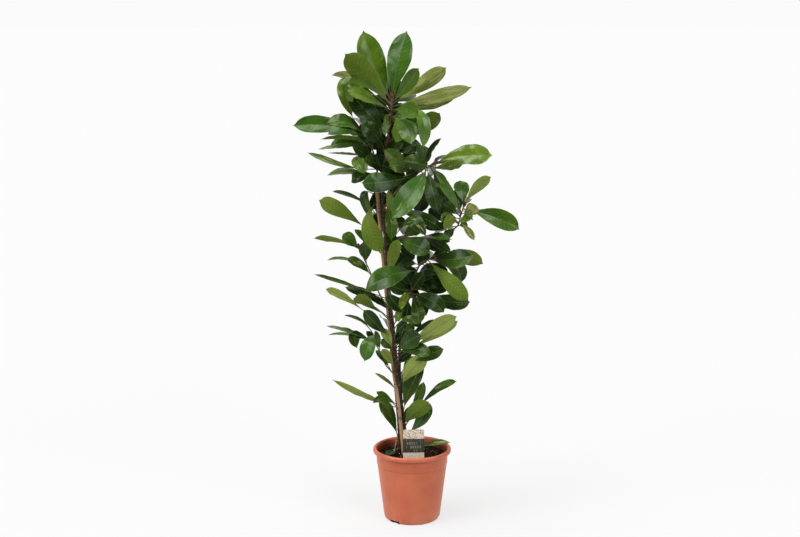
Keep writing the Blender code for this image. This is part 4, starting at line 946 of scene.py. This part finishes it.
def soil_tree(material):
    """Potting soil: a lumpy crowned disc with crumbs and bits of bark scattered over it."""
    tree = Tree.of_geometry("potting_soil", {"Radius": SOIL_RADIUS, "Top": SOIL_TOP, "Crown": SOIL_CROWN, "Seed": 4.0})
    given = tree.group_inputs()
    place = tree.add("GeometryNodeInputPosition")
    lumps = tree.noise(place, 60, 4, 0.6) - 0.5
    up = tree.add("ShaderNodeCombineXYZ", {"Z": lumps * 0.008})
    ground = tree.add("GeometryNodeSetPosition", {"Geometry": given["Geometry"], "Offset": up})
    top_only = tree.add("GeometryNodeInputNormal").vector_math("DOT_PRODUCT", (0, 0, 1)).output("Value")
    points = tree.add(
        "GeometryNodeDistributePointsOnFaces",
        {
            "Mesh": ground, "Selection": top_only.math("GREATER_THAN", 0.5),
            "Density": CRUMB_COUNT / (math.pi * SOIL_RADIUS**2), "Seed": 11,
        },
    )
    crumb = tree.add("GeometryNodeMeshIcoSphere", {"Radius": 0.001, "Subdivisions": 1})
    rough = (tree.noise(place, 700, 2) - 0.5) * 1.2
    crumb = tree.add("GeometryNodeSetPosition", {"Geometry": crumb, "Offset": place * rough})
    size = tree.add(
        "FunctionNodeRandomValue", {"Min": (0.8, 0.7, 0.6), "Max": (3.6, 2.4, 2.0), "Seed": 3},
        data_type="FLOAT_VECTOR",
    )
    spin = tree.add(
        "FunctionNodeRandomValue", {"Min": (0, 0, 0), "Max": (6.3, 6.3, 6.3), "Seed": 5},
        data_type="FLOAT_VECTOR",
    )
    scattered = tree.add(
        "GeometryNodeInstanceOnPoints", {"Points": points, "Instance": crumb, "Rotation": spin, "Scale": size}
    )
    shade = tree.add("FunctionNodeRandomValue", {"Min": 0.0, "Max": 1.0, "Seed": 9}, data_type="FLOAT")
    scattered = tree.store(scattered, "shade", shade, "INSTANCE")
    whole = tree.add("GeometryNodeJoinGeometry")
    for part in (scattered, ground):
        tree.node_tree.links.new(part.socket, whole.socket.node.inputs[0])
    real = tree.add("GeometryNodeRealizeInstances", {"Geometry": whole})
    finished = tree.add("GeometryNodeSetMaterial", {"Geometry": real, "Material": material})
    tree.add("NodeGroupOutput", {"Geometry": finished})
    return tree.node_tree


def soil_material():
    """Moist dark peat with a few paler fibres."""
    material, tree = Tree.of_material("potting_soil")
    place = tree.object_place()
    grain = tree.noise(place, 520, 4, 0.6)
    patches = tree.noise(place, 70, 2)
    shade = tree.attribute("shade")
    colour = tree.mix(grain.smooth(0.3, 0.8), (0.005, 0.003, 0.002), (0.040, 0.019, 0.010))
    colour = tree.mix(patches.smooth(0.55, 0.75) * 0.3, colour, (0.050, 0.025, 0.013))
    colour = tree.mix(shade.smooth(0.6, 0.85) * 0.5, colour, (0.085, 0.040, 0.019))
    colour = tree.mix(shade.smooth(0.86, 0.95), colour, (0.26, 0.145, 0.07))
    tree.surface({
        "Base Color": colour,
        "Roughness": 0.75 + grain * 0.2,
        "Normal": tree.bump(grain, 0.001, 0.7),
        "Specular IOR Level": 0.15,
    })
    return material


def perlite_material():
    material, tree = Tree.of_material("perlite_grain")
    grain = tree.noise(tree.object_place(), 900, 3)
    colour = tree.mix(grain, (0.55, 0.52, 0.47), (0.82, 0.80, 0.76))
    tree.surface({"Base Color": colour, "Roughness": 0.8, "Normal": tree.bump(grain, 0.0005)})
    return material


def pot_material():
    """Terracotta-coloured moulded plastic, a little dusty, with faint flow marks and scuffs, and painted shade inside
    the mouth, under the rim and under the shoulder ledge.
    """
    material, tree = Tree.of_material("pot_plastic")
    place = tree.object_place()
    height = tree.add("ShaderNodeSeparateXYZ", {0: place}).output("Z")
    cloud = tree.noise(place, 16, 3)
    fine = tree.noise(place, 420, 2)
    streaks = tree.noise(tree.add("ShaderNodeMapping", {"Vector": place, "Scale": (55.0, 55.0, 5.0)}), 1.0, 3)
    scuffs = tree.noise(tree.add("ShaderNodeMapping", {"Vector": place, "Scale": (260.0, 260.0, 60.0)}), 1.0, 4)
    specks = tree.add("ShaderNodeTexVoronoi", {"Vector": place, "Scale": 130.0}).smooth(0.11, 0.04)
    rare = tree.noise(place, 24, 1).smooth(0.56, 0.64)
    colour = tree.mix(cloud.smooth(0.3, 0.75), (0.47, 0.114, 0.046), (0.53, 0.146, 0.062))
    colour = tree.mix(streaks.smooth(0.5, 0.8) * 0.3, colour, (0.60, 0.21, 0.12))
    dust = height.smooth(0.05, 0.0) * cloud.smooth(0.35, 0.65)
    colour = tree.mix(dust * 0.3, colour, (0.58, 0.26, 0.17))
    colour = tree.mix(scuffs.smooth(0.70, 0.78) * 0.45, colour, (0.66, 0.33, 0.22))
    colour = tree.mix(specks * rare * 0.6, colour, (0.17, 0.045, 0.025))
    # Painted shade: the inside of the pot above the soil is darkened
    reach = tree.add("ShaderNodeVectorMath", {0: place * (1, 1, 0)}, operation="LENGTH").output("Value")
    inner_shade = reach.smooth(0.0952, 0.0940) * height.smooth(0.155, 0.165)
    colour = tree.mix(inner_shade * 0.75, colour, (0.15, 0.035, 0.018))
    # Painted shade: a dark line under the rim and a fainter one under the shoulder ledge
    rim_groove_shade = height.smooth(0.1795, 0.1815) * height.smooth(0.1850, 0.1838)
    ledge_shade = height.smooth(0.1500, 0.1520) * height.smooth(0.1548, 0.1535)
    colour = tree.mix(rim_groove_shade * 0.6 + ledge_shade * 0.15, colour, (0.20, 0.045, 0.022))
    tree.surface({
        "Base Color": colour,
        "Roughness": 0.33 + cloud * 0.10 + scuffs.smooth(0.66, 0.8) * 0.15,
        "Specular IOR Level": 0.65,
        "Normal": tree.bump(fine * 0.35 + streaks * 0.6, 0.00025, 0.6),
    })
    return material


def label_material():
    """Uncoated card: a speckled kraft field, a dark band with rows of plain bars, and a plain foot."""
    material, tree = Tree.of_material("label_card")
    place = tree.object_place()
    height = tree.add("ShaderNodeSeparateXYZ", {0: place}).output("Z")
    fibre = tree.noise(place, 800, 3)
    bits = tree.noise(place, 330, 2, 0.4)
    leaves = tree.add("ShaderNodeTexVoronoi", {"Vector": place, "Scale": 190.0}, feature="DISTANCE_TO_EDGE")
    kraft = tree.mix(fibre, (0.64, 0.54, 0.43), (0.82, 0.73, 0.60))
    flecks = (bits.smooth(0.47, 0.55) * leaves.smooth(0.03, 0.10)).math("MAXIMUM", leaves.smooth(0.05, 0.01) * 0.4)
    speckled = tree.mix(flecks * 0.85, kraft, (0.17, 0.13, 0.10))
    paper = tree.mix(fibre, (0.70, 0.62, 0.49), (0.84, 0.76, 0.62))
    paper = tree.mix(flecks * 0.35, paper, (0.30, 0.24, 0.18))
    band = tree.mix(fibre * 0.5, (0.038, 0.038, 0.030), (0.075, 0.075, 0.062))
    bars = tree.add("ShaderNodeTexBrick", {
        "Vector": tree.add("ShaderNodeMapping", {"Vector": place, "Rotation": (math.radians(90), 0, 0)}),
        "Color1": (1, 1, 1), "Color2": (0, 0, 0), "Mortar": (0, 0, 0), "Scale": 1.0, "Mortar Size": 0.0016,
        "Mortar Smooth": 0.3, "Bias": 0.35, "Brick Width": 0.0062, "Row Height": 0.0105,
    })
    sideways = (tree.add("ShaderNodeSeparateXYZ", {0: place}).output("X") - LABEL_PLACE.x).math("ABSOLUTE")
    field = sideways.smooth(0.0205, 0.0200) * height.smooth(LABEL_BAND_FOOT + 0.003, LABEL_BAND_FOOT + 0.0035)
    field = field * height.smooth(LABEL_BAND_TOP - 0.003, LABEL_BAND_TOP - 0.0035)
    band = tree.mix(bars * field * 0.7, band, (0.52, 0.47, 0.38))
    colour = tree.mix(height.smooth(LABEL_BAND_TOP + 0.0002, LABEL_BAND_TOP - 0.0002), speckled, band)
    colour = tree.mix(height.smooth(LABEL_BAND_FOOT + 0.0002, LABEL_BAND_FOOT - 0.0002), colour, paper)
    tree.surface({"Base Color": colour, "Roughness": 0.62 + fibre * 0.15, "Normal": tree.bump(fibre, 0.0002, 0.5)})
    return material


def bud_material():
    """Papery red-brown bud scales."""
    material, tree = Tree.of_material("bud_scale")
    place = tree.object_place()
    grain = tree.noise(tree.add("ShaderNodeMapping", {"Vector": place, "Scale": (500.0, 500.0, 90.0)}), 1.0, 3)
    colour = tree.mix(grain, (0.10, 0.032, 0.020), (0.26, 0.105, 0.06))
    tree.surface({"Base Color": colour, "Roughness": 0.55 + grain * 0.15, "Normal": tree.bump(grain, 0.0004)})
    return material


def new_piece(name, mesh, replaced=()):
    """A finished piece of the object, moving with it and standing for the nodes that it replaces."""
    piece = bpy.data.objects.new(name, mesh)
    bpy.context.scene.collection.objects.link(piece)
    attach(piece, "root")
    if replaced:
        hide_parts(*replaced)
    return piece


def grown_meshes(tree, carriers):
    """The plain meshes that a node tree makes of each carrier, an (object data, input values) pair."""
    identifiers = {
        item.name: item.identifier
        for item in tree.interface.items_tree
        if item.item_type == "SOCKET" and item.in_out == "INPUT"
    }
    made = []
    for data, values in carriers:
        carrier = bpy.data.objects.new("carrier", data)
        modifier = carrier.modifiers.new("grow", "NODES")
        modifier.node_group = tree
        for name, value in values.items():
            modifier[identifiers[name]] = value if is_vector(value) else float(value)
        bpy.context.scene.collection.objects.link(carrier)
        made.append(carrier)
    evaluated = bpy.context.evaluated_depsgraph_get()
    meshes = [bpy.data.meshes.new_from_object(carrier.evaluated_get(evaluated)) for carrier in made]
    for carrier in made:
        bpy.data.objects.remove(carrier, do_unlink=True)
    for mesh in meshes:
        while mesh.materials[0] is None:
            mesh.materials.pop(index=0)
    return meshes


def curve_through(lines):
    """A curve with one spline for each line of (point, radius)."""
    curve = bpy.data.curves.new("centreline", "CURVE")
    curve.dimensions = "3D"
    for line in lines:
        spline = curve.splines.new("POLY")
        spline.points.add(len(line) - 1)
        for point, (place, radius) in zip(spline.points, line, strict=True):
            point.co = (*place, 1)
            point.radius = radius
    return curve


def make_leaves(nodes):
    material = leaf_material()
    tree = leaf_tree("fig_leaf", material, BLADE_ACROSS, BLADE_ALONG)
    stations = {name: stem_stations(name) for name in STEMS}
    chance = random.Random(21)
    names, carriers = [], []

    for leaf in LEAVES:
        tip = seen(*leaf.tip)
        via = seen(*leaf.via) if leaf.via else None
        start = seat_on(stations[leaf.stem], leaf.root, via or tip)
        names.append(leaf.name)
        values = leaf_inputs(start, via, tip, leaf.turn)
        values |= {
            "Width": leaf.width * CM, "Stalk": leaf.stalk, "Pointed": leaf.shape, "Light": leaf.light,
            "Patch": leaf.patch, "Fold": chance.uniform(0.16, 0.34), "Curl": chance.uniform(0.0, 0.14),
            "Ripple": chance.uniform(0.08, 0.24), "Twist": chance.uniform(-0.3, 0.3), "Seed": chance.uniform(0, 50),
        }
        carriers.append((bpy.data.meshes.new("leaf"), values))
    for name, mesh in zip(names, grown_meshes(tree, carriers), strict=True):
        node = f"leaf_{name}"
        new_piece(f"fig_leaf_{name}", mesh, (node,) if node in nodes else ())


def make_stems():
    tree = stem_tree(bark_material())
    pieces = {}
    for name, stem in STEMS.items():
        pieces.setdefault(stem.piece, []).append([(centre, radius) for centre, radius, _ in stem_stations(name)])
    carriers = [(curve_through(lines), {}) for lines in pieces.values()]
    for node, mesh in zip(pieces, grown_meshes(tree, carriers), strict=True):
        new_piece(f"barked_{node}", mesh, (node,))


def make_buds():
    """A pointed bud in a ruff of dry scales at the end of each shoot."""
    tree = leaf_tree("bud_scale", bud_material(), 7, 12)
    chance = random.Random(5)
    for name in ("main", "third", "second", "upper_right", "right", "left"):
        end, radius, way = stem_stations(name)[-1]
        side = way.orthogonal().normalized()
        carriers = []
        for number in range(7):
            turn = number * 2.4
            out = side * math.cos(turn) + way.cross(side) * math.sin(turn)
            start = end + out * radius * 0.4 - way * 0.004 * number / 7
            tip = end + way * chance.uniform(0.010, 0.018) + out * chance.uniform(0.001, 0.005)
            bend = (start + tip) / 2 + out * 0.0035
            carriers.append((
                bpy.data.meshes.new("scale"),
                {
                    "Start": start, "Bend": bend, "Tip": tip, "Upper": -out, "Width": chance.uniform(0.0035, 0.0055),
                    "Stalk": 0.02, "Fold": 0.5, "Curl": -0.1, "Ripple": 0.3, "Pointed": 1.0, "Seed": turn,
                },
            ))
        shape = bmesh.new()
        for mesh in grown_meshes(tree, carriers):
            shape.from_mesh(mesh)
        joined = bpy.data.meshes.new("bud")
        shape.to_mesh(joined)
        shape.free()
        joined.materials.append(bpy.data.materials["bud_scale"])
        new_piece(f"bud_{name}", joined)


def make_rods():
    cane = cane_tree(cane_material("bamboo", (0.60, 0.40, 0.25), (0.36, 0.22, 0.12)))
    line = [(point, 1.0) for point in smooth_line([seen(*point) for point in CANE_LINE], 12)]
    mesh, = grown_meshes(cane, [(curve_through([line]), {"Radius": CANE_RADIUS * CM})])
    new_piece("cane", mesh, ("bamboo_cane",))
    stick = cane_tree(cane_material("split_stick", (0.74, 0.52, 0.34), (0.52, 0.33, 0.19)))
    line = [(point, 1.0) for point in smooth_line([seen(*point) for point in STICK_LINE], 12)]
    values = {"Radius": STICK_RADIUS * CM, "Joint": 1.0, "First": 0.5, "Step": 0.0015}
    mesh, = grown_meshes(stick, [(curve_through([line]), values)])
    new_piece("stick", mesh, ("short_stick",))


def turned(profile, sides):
    """A profile of (radius, height) spun about the axis; its ends lie on the axis or close with a cap."""
    shape = bmesh.new()
    rings = []
    for radius, height in profile:
        turns = (2 * math.pi * i / sides for i in range(sides))
        rings.append([shape.verts.new((radius * math.cos(a), radius * math.sin(a), height)) for a in turns])
    for upper, lower in zip(rings, rings[1:], strict=False):
        for i in range(sides):
            j = (i + 1) % sides
            shape.faces.new((upper[i], upper[j], lower[j], lower[i]))
    shape.faces.new(rings[0])
    shape.faces.new(rings[-1])
    shape.normal_update()
    bmesh.ops.recalc_face_normals(shape, faces=shape.faces)
    return shape


def pot_profile():
    """The pot's section from the middle of its underside up the outside, over the rim and down the inside."""
    shoulder_foot = POT_HEIGHT - SHOULDER_DEPTH
    lean = (SHOULDER_RADIUS - SHOULDER_STEP - BASE_RADIUS) / shoulder_foot

    def wall_radius(height):
        return BASE_RADIUS + lean * height

    foot = [
        (BASE_RADIUS * 0.5, 0), (BASE_RADIUS - 0.0065, 0), (BASE_RADIUS - 0.005, 0.0002),
        (BASE_RADIUS - 0.0033, 0.0009), (BASE_RADIUS - 0.0019, 0.0022), (BASE_RADIUS - 0.0009, 0.0042),
        (wall_radius(FOOT_ROUNDING) - 0.0003, FOOT_ROUNDING - 0.0013), (wall_radius(FOOT_ROUNDING), FOOT_ROUNDING),
    ]
    wall = [(wall_radius(0.02 + 0.016 * k), 0.02 + 0.016 * k) for k in range(8)]
    shoulder = [
        (wall_radius(shoulder_foot - 0.0042), shoulder_foot - 0.0042),
        (wall_radius(shoulder_foot - 0.0036) - 0.0003, shoulder_foot - 0.0034),
        (wall_radius(shoulder_foot - 0.0028), shoulder_foot - 0.0026),
        (wall_radius(shoulder_foot - 0.0012), shoulder_foot - 0.0010),
        (SHOULDER_RADIUS - 0.0018, shoulder_foot + 0.0008), (SHOULDER_RADIUS - 0.0013, shoulder_foot + 0.0022),
        (SHOULDER_RADIUS - 0.0010, shoulder_foot + 0.010), (SHOULDER_RADIUS - 0.0006, shoulder_foot + 0.020),
        (SHOULDER_RADIUS - 0.0004, POT_HEIGHT - RIM_DEPTH - 0.006),
        (SHOULDER_RADIUS, POT_HEIGHT - RIM_DEPTH - 0.002),
    ]
    middle = RIM_RADIUS - 0.0045
    under_rim = [(SHOULDER_RADIUS + 0.0008, POT_HEIGHT - RIM_DEPTH - 0.0006)]
    outer_roll = [
        (middle + 0.0045 * math.cos(a), POT_HEIGHT - RIM_DEPTH + 0.0048 + 0.0048 * math.sin(a))
        for a in (math.radians(-84 + 14 * k) for k in range(7))
    ]
    top_roll = [
        (middle - 0.0005 + 0.005 * math.cos(a), POT_HEIGHT - 0.0062 + 0.0062 * math.sin(a))
        for a in (math.radians(6 + 14 * k) for k in range(13))
    ]
    inside = [
        (RIM_RADIUS - RIM_WIDTH - 0.0004, POT_HEIGHT - RIM_DEPTH + 0.003),
        (RIM_RADIUS - RIM_WIDTH - 0.0019, POT_HEIGHT - RIM_DEPTH - 0.001),
        (wall_radius(shoulder_foot) - POT_WALL, shoulder_foot + 0.006),
        (wall_radius(shoulder_foot) - POT_WALL, shoulder_foot),
        (wall_radius(0.1) - POT_WALL, 0.1), (wall_radius(FOOT_ROUNDING) - POT_WALL, FOOT_ROUNDING),
        (BASE_RADIUS - 0.007, POT_WALL), (BASE_RADIUS * 0.5, POT_WALL),
    ]
    return [*foot, *wall, *shoulder, *under_rim, *outer_roll, *top_roll, *inside]


def make_pot():
    mesh = bpy.data.meshes.new("pot")
    shape = turned(pot_profile(), POT_SIDES)
    shape.to_mesh(mesh)
    shape.free()
    blank = bpy.data.objects.new("pot_blank", mesh)
    bpy.context.scene.collection.objects.link(blank)
    cutters = []
    for angle in SLOT_ANGLES:
        cut = bmesh.new()
        bmesh.ops.create_cube(cut, size=1)
        place = Vector((math.sin(math.radians(angle)), -math.cos(math.radians(angle)), 0))
        across = Vector((-place.y, place.x, 0))
        for corner in cut.verts:
            out, along, height = corner.co
            corner.co = (
                place * (BASE_RADIUS - 0.006 + 0.014 * out)
                + across * SLOT_WIDTH * along
                + UP * (SLOT_HEIGHT * (height + 0.5) - 0.001 * (0.5 - height))
            )
        tool_mesh = bpy.data.meshes.new("slot")
        cut.to_mesh(tool_mesh)
        cut.free()
        cutter = bpy.data.objects.new("slot", tool_mesh)
        bpy.context.scene.collection.objects.link(cutter)
        cutters.append(cutter)
        modifier = blank.modifiers.new("slot", "BOOLEAN")
        modifier.object = cutter
        modifier.operation = "DIFFERENCE"
    mesh = bpy.data.meshes.new_from_object(blank.evaluated_get(bpy.context.evaluated_depsgraph_get()))
    for used in (*cutters, blank):
        bpy.data.objects.remove(used, do_unlink=True)
    mesh.shade_smooth()
    mesh.set_sharp_from_angle(angle=math.radians(38))
    mesh.materials.clear()
    mesh.materials.append(pot_material())
    new_piece("nursery_pot", mesh, ("pot",))


def make_soil():
    rings = [
        (SOIL_FLOOR_RADIUS * 0.5, SOIL_FLOOR), (SOIL_FLOOR_RADIUS, SOIL_FLOOR), (0.0722, 0.0035), (0.0728, 0.012),
        (SOIL_RADIUS - 0.0045, 0.150), (SOIL_RADIUS, 0.162), (SOIL_RADIUS, SOIL_TOP - 0.004),
    ]
    for step in range(1, 41):
        share = 1 - step / 41
        rings.append((SOIL_RADIUS * share, SOIL_TOP - 0.001 + SOIL_CROWN * (1 - share**2)))
    shape = turned(rings, 120)
    ground = bpy.data.meshes.new("ground")
    shape.to_mesh(ground)
    shape.free()
    mesh, = grown_meshes(soil_tree(soil_material()), [(ground, {})])
    new_piece("potting_soil", mesh, ("soil",))
    chance = random.Random(3)
    grains = bmesh.new()
    for _ in range(PERLITE_COUNT):
        turn = chance.uniform(0, 2 * math.pi)
        reach = SOIL_RADIUS * math.sqrt(chance.uniform(0.05, 0.9))
        made = bmesh.ops.create_icosphere(grains, subdivisions=2, radius=chance.uniform(0.0009, 0.0018))
        rise = SOIL_TOP + SOIL_CROWN * (1 - (reach / SOIL_RADIUS) ** 2) + 0.0012
        centre = Vector((reach * math.cos(turn), reach * math.sin(turn), rise))
        for corner in made["verts"]:
            corner.co = centre + corner.co * chance.uniform(0.75, 1.25)
    mesh = bpy.data.meshes.new("perlite")
    grains.to_mesh(mesh)
    grains.free()
    mesh.materials.append(perlite_material())
    new_piece("perlite_grains", mesh)


def make_label():
    """A die-cut card with rounded corners and a slight bow."""
    shape = bmesh.new()
    bmesh.ops.create_grid(shape, x_segments=14, y_segments=24, size=0.5)
    corner_radius = 0.003
    across = Vector((math.cos(LABEL_TURN), math.sin(LABEL_TURN), 0))
    forward = UP.cross(across)
    height = LABEL_TOP - LABEL_FOOT
    for corner in shape.verts:
        right, high = corner.co.x * LABEL_WIDTH, (corner.co.y + 0.5) * height
        from_side = LABEL_WIDTH / 2 - abs(right)
        from_top = height - high
        if from_side < 1e-6 and from_top < 1e-6:
            right -= math.copysign(corner_radius * 0.3, right)
            high -= corner_radius * 0.3
        bow = 0.0009 * (1 - (2 * right / LABEL_WIDTH) ** 2)
        corner.co = LABEL_PLACE + across * right - forward * bow + UP * (LABEL_FOOT + high)
    mesh = bpy.data.meshes.new("label")
    shape.to_mesh(mesh)
    shape.free()
    blank = bpy.data.objects.new("label_blank", mesh)
    bpy.context.scene.collection.objects.link(blank)
    solid = blank.modifiers.new("card", "SOLIDIFY")
    solid.thickness = LABEL_THICKNESS
    solid.offset = 0
    mesh = bpy.data.meshes.new_from_object(blank.evaluated_get(bpy.context.evaluated_depsgraph_get()))
    bpy.data.objects.remove(blank, do_unlink=True)
    mesh.shade_smooth()
    mesh.set_sharp_from_angle(angle=math.radians(40))
    mesh.materials.append(label_material())
    new_piece("label_card", mesh, ("plant_label",))


def make_stage():
    """A pale floor, a surround that shows white and lights more dimly, and three wide soft lights."""
    bpy.ops.mesh.primitive_circle_add(vertices=96, radius=60, fill_type="NGON", location=(0, 0, -0.0002))
    floor = bpy.context.object
    floor.name = "floor"
    material, tree = Tree.of_material("studio_floor")
    tree.surface({
        "Base Color": (FLOOR_SHADE,) * 3, "Roughness": 0.9, "Specular IOR Level": 0.0,
        "Emission Color": (1, 1, 1), "Emission Strength": FLOOR_GLOW,
    })
    floor.data.materials.append(material)
    world = bpy.data.worlds.new("studio")
    bpy.context.scene.world = world
    world.use_nodes = True
    world.node_tree.nodes.clear()
    tree = Tree(world.node_tree)
    shown = tree.add("ShaderNodeLightPath").output("Is Camera Ray")
    way = tree.add("ShaderNodeTexCoord")
    facing = way.vector_math("DOT_PRODUCT", SURROUND_SIDE).output("Value").smooth(0.0, 1.0)
    lit = SURROUND_DARK + facing * (SURROUND_BRIGHT - SURROUND_DARK)
    strength = lit + shown * (SURROUND_SHOWN - lit)
    surround = tree.add("ShaderNodeBackground", {"Color": (1, 1, 1), "Strength": strength})
    tree.add("ShaderNodeOutputWorld", {"Surface": surround})
    for name, (direction, spread, strength) in LIGHTS.items():
        lamp = bpy.data.lights.new(name, "SUN")
        lamp.angle = math.radians(spread)
        lamp.energy = strength
        light = bpy.data.objects.new(name, lamp)
        light.location = Vector(direction) * 3
        light.rotation_euler = Vector(direction).to_track_quat("Z", "Y").to_euler()
        bpy.context.scene.collection.objects.link(light)
    bpy.context.scene.view_settings.view_transform = "Standard"
    bpy.context.scene.view_settings.gamma = SHOWN_GAMMA


def make_camera():
    lens = bpy.data.cameras.new("camera")
    lens.lens = LENS
    lens.sensor_width = 36
    lens.shift_x = SHIFT_X
    camera = bpy.data.objects.new("camera", lens)
    camera.location = VIEWPOINT
    camera.rotation_euler = (math.pi / 2 - LOOK_DOWN, 0, 0)
    bpy.context.scene.collection.objects.link(camera)
    bpy.context.scene.camera = camera


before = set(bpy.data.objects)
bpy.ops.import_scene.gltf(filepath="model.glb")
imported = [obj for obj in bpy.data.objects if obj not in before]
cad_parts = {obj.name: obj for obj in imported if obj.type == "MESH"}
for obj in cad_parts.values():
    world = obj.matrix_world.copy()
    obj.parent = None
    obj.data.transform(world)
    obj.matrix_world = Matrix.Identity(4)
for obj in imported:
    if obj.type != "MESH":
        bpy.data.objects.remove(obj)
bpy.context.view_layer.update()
make_camera()
make_stage()
make_pot()
make_soil()
make_label()
make_rods()
make_stems()
make_buds()
make_leaves(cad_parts)
